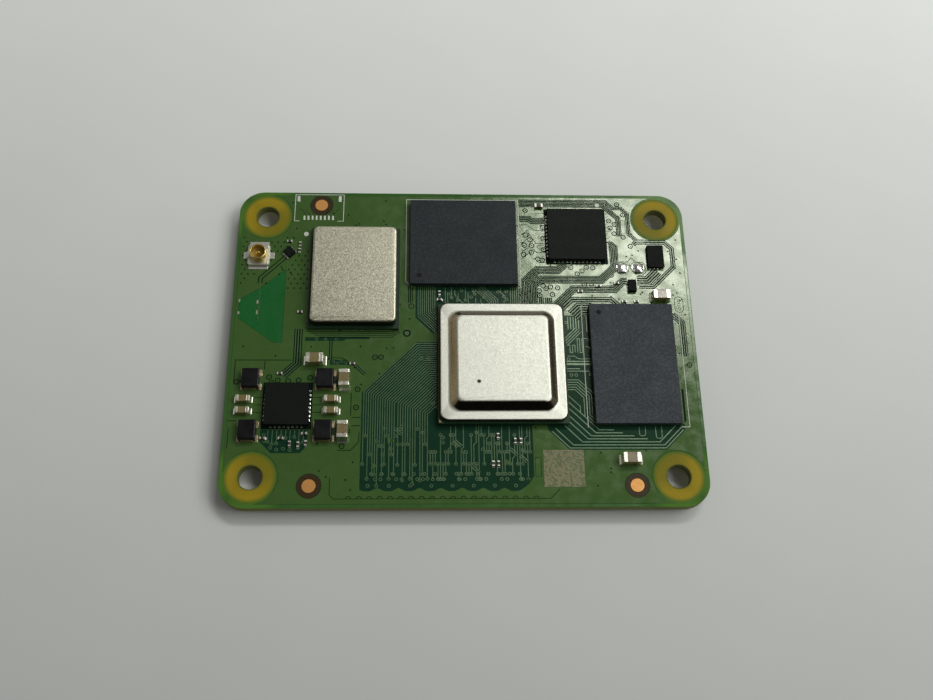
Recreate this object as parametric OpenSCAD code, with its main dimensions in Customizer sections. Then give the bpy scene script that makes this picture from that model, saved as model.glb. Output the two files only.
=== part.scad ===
// System on module: a compute board that plugs into a carrier board through two
// fine-pitch headers on its underside. Millimetres, +Z up. The origin is the centre of
// the board's outline, on the plane of the headers' mating faces.

/* [Board] */
// Board width, along X
board_w = 55; // [50:0.5:60]
// Board depth, along Y
board_d = 40; // [38:0.5:44]
// Board thickness
board_t = 1.2; // [0.8:0.1:1.6]
// Radius of the board's corners
board_corner_r = 3; // [2:0.25:3.5]
// Distance of the bolt holes from both edges of their corner
hole_inset = 3.5; // [3:0.1:4.5]
// Bolt hole diameter
hole_d = 2.7; // [2.2:0.1:3.2]
// Thickness of bare copper and tinned pads
pad_t = 0.05; // [0.03:0.01:0.1]
// Diameter of the camera targets
fiducial_d = 1.55; // [1:0.05:2]

/* [Layout] */
// Antenna socket centre, in from the left edge
antenna_inset = 2.75; // [2.3:0.05:3]
// Antenna socket centre, in from the rear edge
antenna_rear = 8.9; // [8.5:0.05:9.5]
// Strip between antenna switch and radio, before the row is spread over the board
rf_gap = 1.05; // [0.6:0.05:1.5]
// Strip between radio and flash, before the row is spread over the board
radio_gap = 1.2; // [0.8:0.1:1.5]
// Strip between flash and network controller, before the row is spread over the board
ethernet_gap = 3.9; // [3.2:0.1:4.5]
// Strip between network controller and boot flash, before the row is spread over the board
boot_gap = 5.15; // [4.5:0.05:6]
// Boot flash, in from the right edge
boot_inset = 2.95; // [2.5:0.05:3.5]
// Radio, in from the rear edge
radio_rear = 5.25; // [5:0.05:6]
// Network controller, in from the rear edge
ethernet_rear = 2.45; // [2.2:0.05:3]
// Boot flash, in from the rear edge
boot_rear = 7.35; // [7:0.05:8]
// Flash, in from the rear edge
flash_rear = 1.45; // [1:0.05:2]
// Power controller centre, in from the left edge
power_inset = 7.15; // [6.9:0.05:7.5]
// Power controller centre, along Y
power_y = -8.1; // [-8.6:0.05:-7.6]
// Strip between power stage and processor, before the row is spread over the board
soc_gap = 10.15; // [8:0.05:12]
// Strip between processor and memory, before the row is spread over the board
memory_gap = 3; // [2:0.1:4]
// Memory, in from the right edge
memory_inset = 2.65; // [2.2:0.05:3]
// Strip between processor and flash, before the column is spread over the board
flash_gap = 2.55; // [2:0.05:3]
// Strip between processor and front edge, before the column is spread over the board
front_gap = 9.5; // [8:0.05:11]
// Header centres, along X
header_x = -2.2; // [-4:0.1:4]

/* [Processor] */
// Side of the square processor
soc_w = 15; // [13:0.5:16]
// Height of its solder balls
soc_ball_h = 0.3; // [0.2:0.05:0.4]
// Thickness of its substrate
soc_substrate_t = 0.55; // [0.4:0.05:0.8]
// Margin of substrate around the lid
lid_inset = 0.22; // [0.1:0.02:0.5]
// Width of the lid's flat flange
lid_flange_w = 1.08; // [0.8:0.02:1.4]
// Width of the lid's sloped wall, seen from above
lid_slope_w = 0.9; // [0.6:0.05:1.2]
// Height of the lid
lid_h = 1.53; // [1.3:0.01:1.8]
// Sheet thickness of the lid
lid_t = 0.6; // [0.4:0.05:0.7]
// Side of the silicon die
die_w = 7.5; // [5:0.25:8]
// Thickness of the silicon die
die_t = 0.72; // [0.4:0.02:0.76]

/* [Flash and memory] */
// Flash width, along X
flash_w = 13; // [11:0.5:14]
// Flash depth, along Y
flash_d = 11.5; // [10:0.5:12.5]
// Memory width, along X
memory_w = 10; // [8:0.5:11]
// Memory depth, along Y
memory_d = 15; // [13:0.5:16]
// Height of the solder balls under both
bga_ball_h = 0.2; // [0.15:0.01:0.3]
// Thickness of the laminate under both
bga_laminate_t = 0.2; // [0.15:0.01:0.3]
// Thickness of the moulded top of both
bga_mould_t = 0.56; // [0.4:0.02:0.8]

/* [Radio] */
// Radio substrate width, along X
radio_w = 10.8; // [9.5:0.1:11.4]
// Radio substrate depth, along Y
radio_d = 13.4; // [12:0.1:14]
// Radio substrate thickness
radio_board_t = 0.4; // [0.3:0.05:0.6]
// Margin of substrate around the shield
shield_inset = 0.36; // [0.2:0.02:0.6]
// Shield height
shield_h = 1.25; // [1:0.05:1.6]
// Shield sheet thickness
shield_t = 0.15; // [0.1:0.01:0.25]
// Outer radius along the shield's top edge
shield_edge_r = 0.25; // [0.2:0.01:0.4]

/* [Leadless chips] */
// Side of the square power controller
power_w = 5; // [4:0.5:6]
// Side of the square network controller
ethernet_w = 7; // [6:0.5:8]
// Height of both packages
qfn_h = 0.85; // [0.7:0.05:1]
// Lead pitch
lead_pitch = 0.5; // [0.4:0.05:0.65]
// Lead width
lead_w = 0.24; // [0.18:0.02:0.3]
// Lead length under the package
lead_l = 0.4; // [0.3:0.02:0.5]
// Lead thickness
lead_t = 0.2; // [0.15:0.01:0.25]
// Reach of the solder beyond each lead
lead_toe = 0.35; // [0.2:0.05:0.5]
// Height of the three smallest packages
mini_h = 0.55; // [0.45:0.05:0.7]

/* [Inductors] */
// Inductor width, along X
inductor_w = 2; // [1.6:0.1:2.5]
// Inductor length, along Y
inductor_l = 2.5; // [2:0.1:3]
// Inductor height
inductor_h = 1.1; // [0.8:0.05:1.5]
// Length of each terminal under the inductor
inductor_band = 0.8; // [0.5:0.05:1]
// Terminal thickness
inductor_plate_t = 0.1; // [0.06:0.01:0.15]
// Reach of the terminal's solder past the sides
inductor_toe = 0.2; // [0.1:0.05:0.3]

/* [Capacitors] */
// Large capacitor length
large_l = 2; // [1.8:0.05:2.2]
// Large capacitor width and height
large_w = 1.25; // [1:0.05:1.4]
// Medium capacitor length
medium_l = 1.6; // [1.4:0.05:1.8]
// Medium capacitor width and height
medium_w = 0.8; // [0.6:0.05:0.95]
// Small chip length
small_l = 1; // [0.8:0.05:1.1]
// Small chip width and height
small_w = 0.5; // [0.4:0.02:0.55]
// Tiny chip length
tiny_l = 0.6; // [0.5:0.02:0.64]
// Tiny chip width and height
tiny_w = 0.3; // [0.24:0.02:0.34]
// Thickness of the metal on each chip's ends
plating_t = 0.03; // [0.02:0.01:0.05]

/* [Antenna socket] */
// Side of the square base
socket_w = 2.6; // [2.4:0.05:2.8]
// Thickness of the base
socket_base_t = 0.35; // [0.3:0.05:0.45]
// Overall height
socket_h = 1.25; // [1.1:0.05:1.5]
// Outer diameter of the shell
socket_shell_d = 2; // [1.8:0.05:2.1]
// Wall of the shell
socket_wall = 0.15; // [0.1:0.01:0.2]
// Diameter of the centre pin
socket_pin_d = 0.5; // [0.4:0.02:0.6]
// Thickness of the metal strip
socket_strip_t = 0.1; // [0.06:0.01:0.14]

/* [Headers] */
// Contacts in each row
header_contacts = 50; // [30:2:54]
// Contact pitch
header_pitch = 0.4; // [0.35:0.01:0.45]
// Height below the board
header_h = 1.12; // [0.9:0.02:1.4]
// Width of the housing
header_w = 2.2; // [2:0.05:2.6]
// Floor thickness of the housing
header_floor_t = 0.38; // [0.25:0.01:0.45]
// Wall thickness along the trough
header_wall = 0.42; // [0.35:0.01:0.5]
// Length of each end block
header_end_l = 1.1; // [0.9:0.05:1.4]
// How far the side walls stop short of the end blocks
header_wall_drop = 0.16; // [0.14:0.01:0.25]
// Contact strip thickness
contact_t = 0.08; // [0.06:0.01:0.1]
// Contact strip width
contact_w = 0.18; // [0.12:0.01:0.22]
// Length of each contact's soldered foot
contact_foot = 0.42; // [0.3:0.02:0.6]

/* [Hidden] */
round_fn = 48;
small_fn = 24;
corner_steps = 8;
board_bottom = header_h;
board_top = board_bottom + board_t;

hole_x = board_w / 2 - hole_inset;
hole_y = board_d / 2 - hole_inset;

// Camera targets and the unfitted connector keep their distance from the bolt holes.
fiducial_left_dx = 6.5;
fiducial_right_dx = 4.8;
fiducial_front_dy = 1;
fiducial_rear_dy = 1.7;
fiducial_front = -hole_y - fiducial_front_dy;
fiducial_places = [[fiducial_left_dx - hole_x, hole_y + fiducial_rear_dy],
    [fiducial_left_dx - hole_x, fiducial_front],
    [hole_x - fiducial_right_dx, fiducial_front]];
spare_dx = 6.2;
spare_dy = -0.1;
spare_x = spare_dx - hole_x;
spare_y = hole_y + spare_dy;

// Rear row, from left to right: antenna parts, radio, flash, network controller, boot flash.
// Its strips stretch by one factor so that the row fills the board.
rf_reach = 5.2;
boot_flash_w = 2;
boot_flash_d = 3;
rear_fixed = antenna_inset + rf_reach + radio_w + flash_w + ethernet_w + boot_flash_w + boot_inset;
rear_spread = (board_w - rear_fixed) / (rf_gap + radio_gap + ethernet_gap + boot_gap);
antenna_x = antenna_inset - board_w / 2;
antenna_y = board_d / 2 - antenna_rear;
rf_switch_x = antenna_x + rf_reach - 1.55;
rf_switch_y = antenna_y + 0.4;
radio_x = antenna_x + rf_reach + rf_gap * rear_spread + radio_w / 2;
flash_x = radio_x + radio_w / 2 + radio_gap * rear_spread + flash_w / 2;
ethernet_x = flash_x + flash_w / 2 + ethernet_gap * rear_spread + ethernet_w / 2;
boot_flash_x = board_w / 2 - boot_inset - boot_flash_w / 2;
radio_y = board_d / 2 - radio_rear - radio_d / 2;
flash_y = board_d / 2 - flash_rear - flash_d / 2;
ethernet_y = board_d / 2 - ethernet_rear - ethernet_w / 2;
boot_flash_y = board_d / 2 - boot_rear - boot_flash_d / 2;

// Column of flash and processor, spread in the same way over the depth of the board.
column_spread = (board_d - flash_rear - flash_d - soc_w) / (flash_gap + front_gap);
soc_y = front_gap * column_spread + soc_w / 2 - board_d / 2;

lid_w = soc_w - 2 * lid_inset;
lid_foot_w = lid_w - 2 * lid_flange_w;
lid_top_w = lid_foot_w - 2 * lid_slope_w;
lid_corner_r = 1;
lid_foot_r = 1.2;
lid_top_r = 0.8;
lid_edge_r = 0.18;
die_z = soc_ball_h + soc_substrate_t;
paste_t = lid_h - lid_t - die_t;

bga_mould_z = bga_ball_h + bga_laminate_t;
bga_ball_d = 0.3;
pin_mark_d = 0.6;
pin_mark_h = 0.06;
flash_mark_dx = 0.9 - flash_w / 2;
flash_mark_dy = 1.8 - flash_d / 2;
memory_mark_dx = 1.45 - memory_w / 2;
memory_mark_dy = memory_d / 2 - 0.6;
flash_ball_pitch = 0.5;
flash_balls = 14;
memory_ball_pitch = 0.65;
memory_bank_columns = 5;
memory_lane = 1.6;
memory_ball_margin = 1;
soc_ball_pitch = 0.8;
soc_ball_d = 0.46;
soc_ball_margin = 1;
radio_chip_w = 4.6;
radio_chip_h = 0.6;
radio_chip_dy = -1.5;
radio_crystal_w = 2;
radio_crystal_d = 1.6;
radio_crystal_h = 0.5;
radio_crystal_dx = -1.5;
radio_crystal_dy = 3.6;
shield_w = radio_w - 2 * shield_inset;
shield_d = radio_d - 2 * shield_inset;
shield_corner_r = 0.7;
radio_top = pad_t + radio_board_t;

qfn_standoff = 0.03;
qfn_edge = 0.75;

// Power stage: chokes and capacitors stand around the controller at these clear distances.
power_gap = 0.2;
row_gap = 0.75;
row_pitch = 1.4;
column_gap = 0.35;
end_gap = 0.95;
large_toe = 0.45;
medium_toe = 0.4;
small_toe = 0.15;
tiny_toe = 0.12;
power_reach = power_w / 2 + lead_toe;
choke_reach = inductor_w / 2 + inductor_toe;
choke_dx = power_reach + power_gap + choke_reach;
choke_dy = row_pitch / 2 + medium_w / 2 + row_gap + inductor_l / 2;
medium_dx = power_reach + end_gap + medium_toe + medium_l / 2;
column_dx = choke_dx + choke_reach + column_gap + large_w / 2;
top_cap_dx = choke_dx - 1.3;
top_cap_dy = choke_dy + inductor_l / 2 + 0.55 + large_w / 2;
power_x = power_inset - board_w / 2;

// Middle row, from left to right: power stage, processor, memory, spread in the same way.
power_span = power_inset + column_dx + large_w / 2;
middle_fixed = power_span + soc_w + memory_w + memory_inset;
middle_spread = (board_w - middle_fixed) / (soc_gap + memory_gap);
soc_x = power_span + soc_gap * middle_spread + soc_w / 2 - board_w / 2;
memory_x = board_w / 2 - memory_inset - memory_w / 2;
memory_y = soc_y;
memory_cap_dx = 3.9;
memory_cap_gap = 0.65;
far_cap_dx = 1.2;
far_cap_rise = 2.95;

LARGE = "large";
MEDIUM = "medium";
SMALL = "small";
TINY = "tiny";

inductor_places = [for (sx = [-1, 1]) for (sy = [1, -1])
    [power_x + sx * choke_dx, power_y + sy * choke_dy]];

// Each capacitor: centre X, centre Y, turn in degrees, size.
capacitor_places = [
    [power_x + top_cap_dx, power_y + top_cap_dy, 0, LARGE],
    [power_x + column_dx, power_y + choke_dy, 90, LARGE],
    [power_x + medium_dx, power_y + row_pitch / 2, 0, MEDIUM],
    [power_x + medium_dx, power_y - row_pitch / 2, 0, MEDIUM],
    [power_x + column_dx, power_y - choke_dy, 90, LARGE],
    [power_x - medium_dx, power_y + row_pitch / 2, 0, MEDIUM],
    [power_x - medium_dx, power_y - row_pitch / 2, 0, MEDIUM],
    [memory_x + memory_cap_dx, memory_y + memory_d / 2 + memory_cap_gap + large_w / 2, 0, LARGE],
    [memory_x - far_cap_dx, fiducial_front + far_cap_rise * column_spread, 0, LARGE],
];

regulator_x = boot_flash_x - 3.15;
regulator_y = boot_flash_y - 3.95;

// Y in the lane behind the memory or the processor, from 0 at that package to 1 at the next one.
function memory_lane_y(share) =
    let (near = memory_y + memory_d / 2, far = ethernet_y - ethernet_w / 2) near + share * (far - near);
function soc_lane_y(share) =
    let (near = soc_y + soc_w / 2, far = flash_y - flash_d / 2) near + share * (far - near);

// Each small chip on top: centre X, centre Y, turn in degrees, size.
small_places_top = [
    [power_x - 1.05, power_y + 3.9, 0, TINY],
    [power_x - 2.55, power_y - choke_dy - 0.8, 0, TINY],
    [power_x - 0.5, power_y - 3.9, 0, TINY],
    [power_x + 0.5, power_y - 4.55, 90, TINY],
    [power_x + 2.1, power_y - 3.35, 0, TINY],
    [power_x + 1.45, power_y - 4.65, 90, TINY],
    [power_x + 2.3, power_y - 4.5, 90, TINY],
    [power_x + column_dx + 0.85, power_y + 5.15, 0, TINY],
    [soc_x - 0.7, soc_y - soc_w / 2 - 1.25, 90, TINY],
    [soc_x + 1.25, soc_y - soc_w / 2 - 1.85, 90, TINY],
    [soc_x + 1.9, soc_y - soc_w / 2 - 1.85, 90, TINY],
    [soc_x - 1.3, soc_y - soc_w / 2 - 4.5, 90, TINY],
    [soc_x - 0.7, soc_y - soc_w / 2 - 4.5, 90, TINY],
    [radio_x - radio_w / 2 - 0.95, radio_y - 4.45, 0, TINY],
    [ethernet_x - ethernet_w / 2 - 0.95, ethernet_y + 4.15, 0, SMALL],
    [ethernet_x + 0.15, memory_lane_y(0.33), 0, TINY],
    [ethernet_x + 2.45, memory_lane_y(0.45), 0, TINY],
    [regulator_x - 1.85, regulator_y + 0.42, 0, TINY],
    [memory_x - 0.55, memory_lane_y(0.11), 0, TINY],
    [memory_x + 0.95, memory_lane_y(0.11), 0, TINY],
    [soc_x - soc_w / 2 + 0.2, soc_lane_y(0.31), 0, TINY],
    [soc_x - soc_w / 2 + 0.2, soc_lane_y(0.64), 90, TINY],
    [rf_switch_x - 0.05, rf_switch_y + 1.55, 0, TINY],
    [rf_switch_x + 1.25, rf_switch_y + 1.15, 90, TINY],
    [rf_switch_x + 1.2, rf_switch_y + 0.25, 90, TINY],
];

// Decoupling chips stand in grids under the processor and the memory.
under_pitch = 1.7;
under_soc_columns = 6;
under_soc_rows = 5;
under_memory_columns = 3;
under_memory_rows = 5;
small_places_under = concat(
    [for (i = [0 : under_soc_columns - 1]) for (j = [0 : under_soc_rows - 1])
        [soc_x + centred(i, under_soc_columns) * under_pitch,
         soc_y + centred(j, under_soc_rows) * under_pitch, 90, SMALL]],
    [for (i = [0 : under_memory_columns - 1]) for (j = [0 : under_memory_rows - 1])
        [memory_x + centred(i, under_memory_columns) * 2 * under_pitch,
         memory_y + centred(j, under_memory_rows) * under_pitch, 0, SMALL]]);

regulator_w = 1;
regulator_d = 1.5;
rf_switch_w = 1.1;
mini_leads = 4;
regulator_leads_per_side = 3;
rf_leads_per_side = 3;
rf_lead_pitch = 0.35;

spare_contacts = 8;
spare_pad = [0.22, 0.6];
spare_tab = [0.36, 0.8];
spare_tab_dx = 2.55;
spare_tab_dy = 2.7;
bare_pad = [1.24, 1.4];
bare_pad_r = 0.35;
bare_solder_h = 0.35;
bare_pad_y = boot_flash_y - 1.5;
bare_pads = [for (share = [0.39, 0.77])
    [ethernet_x + ethernet_w / 2 + share * boot_gap * rear_spread, bare_pad_y]];

socket_reach = socket_w / 2;
socket_foot = 0.55;
socket_strap_w = 2.3;
socket_signal_w = 0.9;
pin_clearance = 0.02;

header_y = hole_y;
header_span = (header_contacts - 1) * header_pitch;
header_l = header_span + header_pitch + 2 * header_end_l;
wall_z = header_wall_drop;
floor_z = header_h - header_floor_t;

// Places a piece on the board's upper or lower face.
module on_top(x, y, turn = 0) {
    translate([x, y, board_top]) rotate([0, 0, turn]) children();
}

module under(x, y, turn = 0) {
    translate([x, y, board_bottom]) mirror([0, 0, 1]) rotate([0, 0, turn]) children();
}

// Index i of n, counted from the middle of the row.
function centred(i, n) = i - (n - 1) / 2;

// Length, solder reach and side of a chip part of the named size.
function chip_l(size) =
    size == LARGE ? large_l : size == MEDIUM ? medium_l : size == SMALL ? small_l : tiny_l;
function chip_w(size) =
    size == LARGE ? large_w : size == MEDIUM ? medium_w : size == SMALL ? small_w : tiny_w;
function chip_toe(size) =
    size == LARGE ? large_toe : size == MEDIUM ? medium_toe : size == SMALL ? small_toe : tiny_toe;

module box(w, d, h) {
    translate([-w / 2, -d / 2, 0]) cube([w, d, h]);
}

module rounded_rectangle(w, d, r) {
    square([w - 2 * r, d], center = true);
    square([w, d - 2 * r], center = true);
    for (sx = [-1, 1]) {
        for (sy = [-1, 1]) {
            translate([sx * (w / 2 - r), sy * (d / 2 - r)]) circle(r, $fn = round_fn);
        }
    }
}

module rounded_box(w, d, h, r) {
    linear_extrude(h) rounded_rectangle(w, d, r);
}

// One ring of a loft: a rounded rectangle [width, depth, corner radius, height].
function ring_points(ring) = [
    for (corner = [0 : 3]) for (step = [0 : corner_steps])
        let (turn = 90 * corner, angle = turn + 90 * step / corner_steps,
             sx = corner == 0 || corner == 3 ? 1 : -1, sy = corner < 2 ? 1 : -1)
        [sx * (ring[0] / 2 - ring[2]) + ring[2] * cos(angle),
         sy * (ring[1] / 2 - ring[2]) + ring[2] * sin(angle), ring[3]]];

// A closed skin through a chain of rings, from the first ring's cap to the last one's.
module loft(rings) {
    n = 4 * (corner_steps + 1);
    last = len(rings) - 1;
    points = [for (ring = rings) each ring_points(ring)];
    sides = [for (k = [0 : last - 1]) for (i = [0 : n - 1])
        let (j = (i + 1) % n) [k * n + i, (k + 1) * n + i, (k + 1) * n + j, k * n + j]];
    first_cap = [for (i = [0 : n - 1]) i];
    last_cap = [for (i = [n - 1 : -1 : 0]) last * n + i];
    polyhedron(points = points, faces = concat([first_cap], sides, [last_cap]));
}

// Board and bare metal
module circuit_board() {
    color("darkgreen") translate([0, 0, board_bottom]) difference() {
        rounded_box(board_w, board_d, board_t, board_corner_r);
        for (sx = [-1, 1]) {
            for (sy = [-1, 1]) {
                translate([sx * hole_x, sy * hole_y, -1])
                    cylinder(d = hole_d, h = board_t + 2, $fn = round_fn);
            }
        }
    }
}

module fiducials() {
    color("peru") for (place = fiducial_places) {
        on_top(place[0], place[1]) cylinder(d = fiducial_d, h = pad_t, $fn = round_fn);
    }
}

module spare_connector_pads() {
    color("silver") {
        for (i = [0 : spare_contacts - 1]) {
            on_top(spare_x + centred(i, spare_contacts) * lead_pitch, spare_y)
                box(spare_pad[0], spare_pad[1], pad_t);
        }
        for (side = [-1, 1]) {
            on_top(spare_x + side * spare_tab_dx, spare_y + spare_tab_dy)
                box(spare_tab[0], spare_tab[1], pad_t);
        }
    }
}

// A heap of solder: rings that close in as they rise, up to a small flat at the crown.
function heap_rings(w, d, r, z, h, steps = 6) = [
    for (k = [0 : steps])
        let (angle = 84 * k / steps, share = cos(angle))
        [w * share, d * share, r * share, z + h * sin(angle)]];

module spare_solder_pads() {
    color("silver") for (place = bare_pads) {
        on_top(place[0], place[1]) loft(concat(
            [[bare_pad[0], bare_pad[1], bare_pad_r, 0]],
            heap_rings(bare_pad[0], bare_pad[1], bare_pad_r, pad_t, bare_solder_h)));
    }
}

// Solder balls: a barrel cut from a sphere, between the board and the package.
module ball(h, d) {
    translate([0, 0, h / 2]) rotate_extrude($fn = small_fn) intersection() {
        circle(d = d, $fn = small_fn);
        translate([0, -h / 2]) square([d, h]);
    }
}

// A grid of balls: the outer rings of the grid, and a block of them at its centre.
module ball_grid(columns, rows, pitch, rings, core, h, d) {
    for (i = [0 : columns - 1]) {
        for (j = [0 : rows - 1]) {
            depth = min(i, columns - 1 - i, j, rows - 1 - j);
            reach = max(abs(centred(i, columns)), abs(centred(j, rows)));
            if (depth < rings || reach < core / 2) {
                translate([centred(i, columns) * pitch, centred(j, rows) * pitch, 0]) ball(h, d);
            }
        }
    }
}

// Processor
module soc_substrate() {
    color("seagreen") on_top(soc_x, soc_y) translate([0, 0, soc_ball_h])
        rounded_box(soc_w, soc_w, soc_substrate_t, 0.15);
}

module soc_solder_balls() {
    count = floor((soc_w - soc_ball_margin) / soc_ball_pitch);
    color("lightgrey") on_top(soc_x, soc_y)
        ball_grid(count, count, soc_ball_pitch, 3, 5, soc_ball_h, soc_ball_d);
}

module soc_die() {
    color("dimgrey") on_top(soc_x, soc_y) translate([0, 0, die_z]) box(die_w, die_w, die_t);
}

module soc_thermal_layer() {
    color("gainsboro") on_top(soc_x, soc_y) translate([0, 0, die_z + die_t]) box(die_w, die_w, paste_t);
}

// Rings round an edge: a quarter turn from the wall below to the face above.
function edge_rings(w, d, r, z, edge_r, steps = 4) = [
    for (k = [0 : steps])
        let (angle = 90 * k / steps, inset = edge_r * (1 - cos(angle)))
        [w - 2 * inset, d - 2 * inset, max(r - inset, 0.05), z - edge_r * (1 - sin(angle))]];

// The lid's section: cavity roof, cavity mouth, flange, flange edge, sloped wall, plateau.
module soc_lid() {
    flange_z = lid_t;
    cavity_mouth_w = lid_foot_w - lid_t;
    cavity_roof_w = lid_top_w - lid_t;
    slope = (lid_h - flange_z) / lid_slope_w;
    shoulder = 0.18;
    steps = 4;
    foot = [for (k = [0 : steps])
        let (t = k / steps, run = shoulder * (1 - t) * (1 - t), rise = shoulder * slope * t * t)
        [lid_foot_w + 2 * run - 2 * shoulder * t * t, lid_foot_r, flange_z + rise]];
    brow = [for (k = [0 : steps])
        let (t = k / steps, run = shoulder * (1 - t) * (1 - t), drop = shoulder * slope * (1 - t) * (1 - t),
             past = shoulder * t * t)
        [lid_top_w + 2 * run - 2 * past, lid_top_r, lid_h - drop]];
    color("lightgrey") on_top(soc_x, soc_y) translate([0, 0, die_z]) loft(concat(
        [[cavity_roof_w, cavity_roof_w, 0.5, lid_h - lid_t]],
        [[cavity_mouth_w, cavity_mouth_w, 0.9, 0]],
        [[lid_w, lid_w, lid_corner_r, 0]],
        edge_rings(lid_w, lid_w, lid_corner_r, flange_z, lid_edge_r),
        [for (ring = concat(foot, brow)) [ring[0], ring[0], ring[1], ring[2]]]));
}

// Flash and memory
module ball_package(x, y, w, d, mark_dx, mark_dy) {
    on_top(x, y) translate([0, 0, bga_mould_z]) difference() {
        rounded_box(w, d, bga_mould_t, 0.12);
        translate([mark_dx, mark_dy, bga_mould_t - pin_mark_h])
            cylinder(d1 = pin_mark_d / 2, d2 = pin_mark_d, h = pin_mark_h, $fn = small_fn);
    }
}

module ball_laminate(x, y, w, d) {
    on_top(x, y) translate([0, 0, bga_ball_h]) rounded_box(w, d, bga_laminate_t, 0.12);
}

module flash_package() {
    color("darkslategrey") ball_package(flash_x, flash_y, flash_w, flash_d, flash_mark_dx, flash_mark_dy);
}

module flash_substrate() {
    color("darkolivegreen") ball_laminate(flash_x, flash_y, flash_w, flash_d);
}

module flash_solder_balls() {
    color("lightgrey") on_top(flash_x, flash_y)
        ball_grid(flash_balls, flash_balls, flash_ball_pitch, 3, 0, bga_ball_h, bga_ball_d);
}

module memory_package() {
    color("darkslategrey")
        ball_package(memory_x, memory_y, memory_w, memory_d, memory_mark_dx, memory_mark_dy);
}

module memory_substrate() {
    color("darkolivegreen") ball_laminate(memory_x, memory_y, memory_w, memory_d);
}

// The memory's balls stand in two banks with a clear lane between them.
module memory_solder_balls() {
    rows = floor((memory_d - memory_ball_margin) / memory_ball_pitch);
    bank_dx = memory_lane / 2 + (memory_bank_columns - 1) / 2 * memory_ball_pitch;
    color("lightgrey") for (side = [-1, 1]) {
        on_top(memory_x + side * bank_dx, memory_y)
            ball_grid(memory_bank_columns, rows, memory_ball_pitch, 1, 0, bga_ball_h, bga_ball_d);
    }
}

// Radio module
module radio_substrate() {
    color("darkgreen") on_top(radio_x, radio_y) translate([0, 0, pad_t])
        rounded_box(radio_w, radio_d, radio_board_t, 0.2);
}

module radio_shield() {
    inner_w = shield_w - 2 * shield_t;
    inner_d = shield_d - 2 * shield_t;
    inner_r = shield_corner_r - shield_t;
    color("darkgrey") on_top(radio_x, radio_y) translate([0, 0, radio_top]) loft(concat(
        [[inner_w, inner_d, inner_r, shield_h - shield_t]],
        [[inner_w, inner_d, inner_r, 0]],
        [[shield_w, shield_d, shield_corner_r, 0]],
        edge_rings(shield_w, shield_d, shield_corner_r, shield_h, shield_edge_r)));
}

module radio_chip() {
    color("dimgrey") on_top(radio_x, radio_y + radio_chip_dy) translate([0, 0, radio_top])
        box(radio_chip_w, radio_chip_w, radio_chip_h);
}

module radio_crystal() {
    color("silver") on_top(radio_x + radio_crystal_dx, radio_y + radio_crystal_dy)
        translate([0, 0, radio_top])
        rounded_box(radio_crystal_w, radio_crystal_d, radio_crystal_h, 0.15);
}

module radio_solder_pads() {
    pad_l = 0.7;
    pad_w = 0.5;
    pitch = 1;
    columns = floor((radio_w - 1) / pitch);
    rows = floor((radio_d - 2) / pitch);
    color("silver") {
        for (side = [-1, 1]) {
            for (i = [0 : columns - 1]) {
                on_top(radio_x + centred(i, columns) * pitch, radio_y + side * (radio_d - pad_l) / 2)
                    box(pad_w, pad_l, pad_t);
            }
            for (j = [0 : rows - 1]) {
                on_top(radio_x + side * (radio_w - pad_l) / 2, radio_y + centred(j, rows) * pitch)
                    box(pad_l, pad_w, pad_t);
            }
        }
    }
}

// Leadless chips: leads stand flush in pockets along the package's edges, and the solder
// climbs each lead's outer face in a hollow curve.
function toe_curve(reach, rise, steps = 4) =
    [for (k = [0 : steps]) let (a = 90 * k / steps) [reach * (1 - sin(a)), rise * (1 - cos(a))]];

module lead(pitch_w, l, t, toe) {
    rotate([90, 0, 0]) translate([0, 0, -pitch_w / 2]) linear_extrude(pitch_w)
        polygon(concat([[-l, 0]], toe_curve(toe, t), [[-l, t]]));
}

module lead_row(reach, count, pitch) {
    for (i = [0 : count - 1]) {
        translate([reach, centred(i, count) * pitch, 0]) lead(lead_w, lead_l, lead_t, lead_toe);
    }
}

module lead_pockets(reach, count, pitch) {
    for (i = [0 : count - 1]) {
        translate([reach - lead_l, centred(i, count) * pitch - lead_w / 2, 0])
            cube([lead_l + 1, lead_w, lead_t]);
    }
}

function leads_along(w) = floor((w - 2 * qfn_edge) / lead_pitch) + 1;
function belly_pad_w(w) = w - 2 * qfn_edge;

module quad_body(w) {
    difference() {
        translate([0, 0, qfn_standoff]) rounded_box(w, w, qfn_h - qfn_standoff, 0.1);
        for (turn = [0 : 90 : 270]) {
            rotate([0, 0, turn]) lead_pockets(w / 2, leads_along(w), lead_pitch);
        }
        box(belly_pad_w(w), belly_pad_w(w), lead_t);
    }
}

module quad_leads(w) {
    for (turn = [0 : 90 : 270]) {
        rotate([0, 0, turn]) lead_row(w / 2, leads_along(w), lead_pitch);
    }
    box(belly_pad_w(w), belly_pad_w(w), lead_t);
}

module power_controller_body() {
    color("dimgrey") on_top(power_x, power_y) quad_body(power_w);
}

module power_controller_leads() {
    color("silver") on_top(power_x, power_y) quad_leads(power_w);
}

module ethernet_controller_body() {
    color("dimgrey") on_top(ethernet_x, ethernet_y) quad_body(ethernet_w);
}

module ethernet_controller_leads() {
    color("silver") on_top(ethernet_x, ethernet_y) quad_leads(ethernet_w);
}

// Small packages with leads along two sides, at +X and -X before they are turned.
module dual_body(l, w, count, pitch) {
    difference() {
        translate([0, 0, qfn_standoff]) rounded_box(l, w, mini_h - qfn_standoff, 0.08);
        for (turn = [0, 180]) {
            rotate([0, 0, turn]) lead_pockets(l / 2, count, pitch);
        }
    }
}

module dual_leads(l, count, pitch) {
    for (turn = [0, 180]) {
        rotate([0, 0, turn]) lead_row(l / 2, count, pitch);
    }
}

module boot_flash_body() {
    color("dimgrey") on_top(boot_flash_x, boot_flash_y, 90)
        dual_body(boot_flash_d, boot_flash_w, mini_leads, lead_pitch);
}

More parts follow.
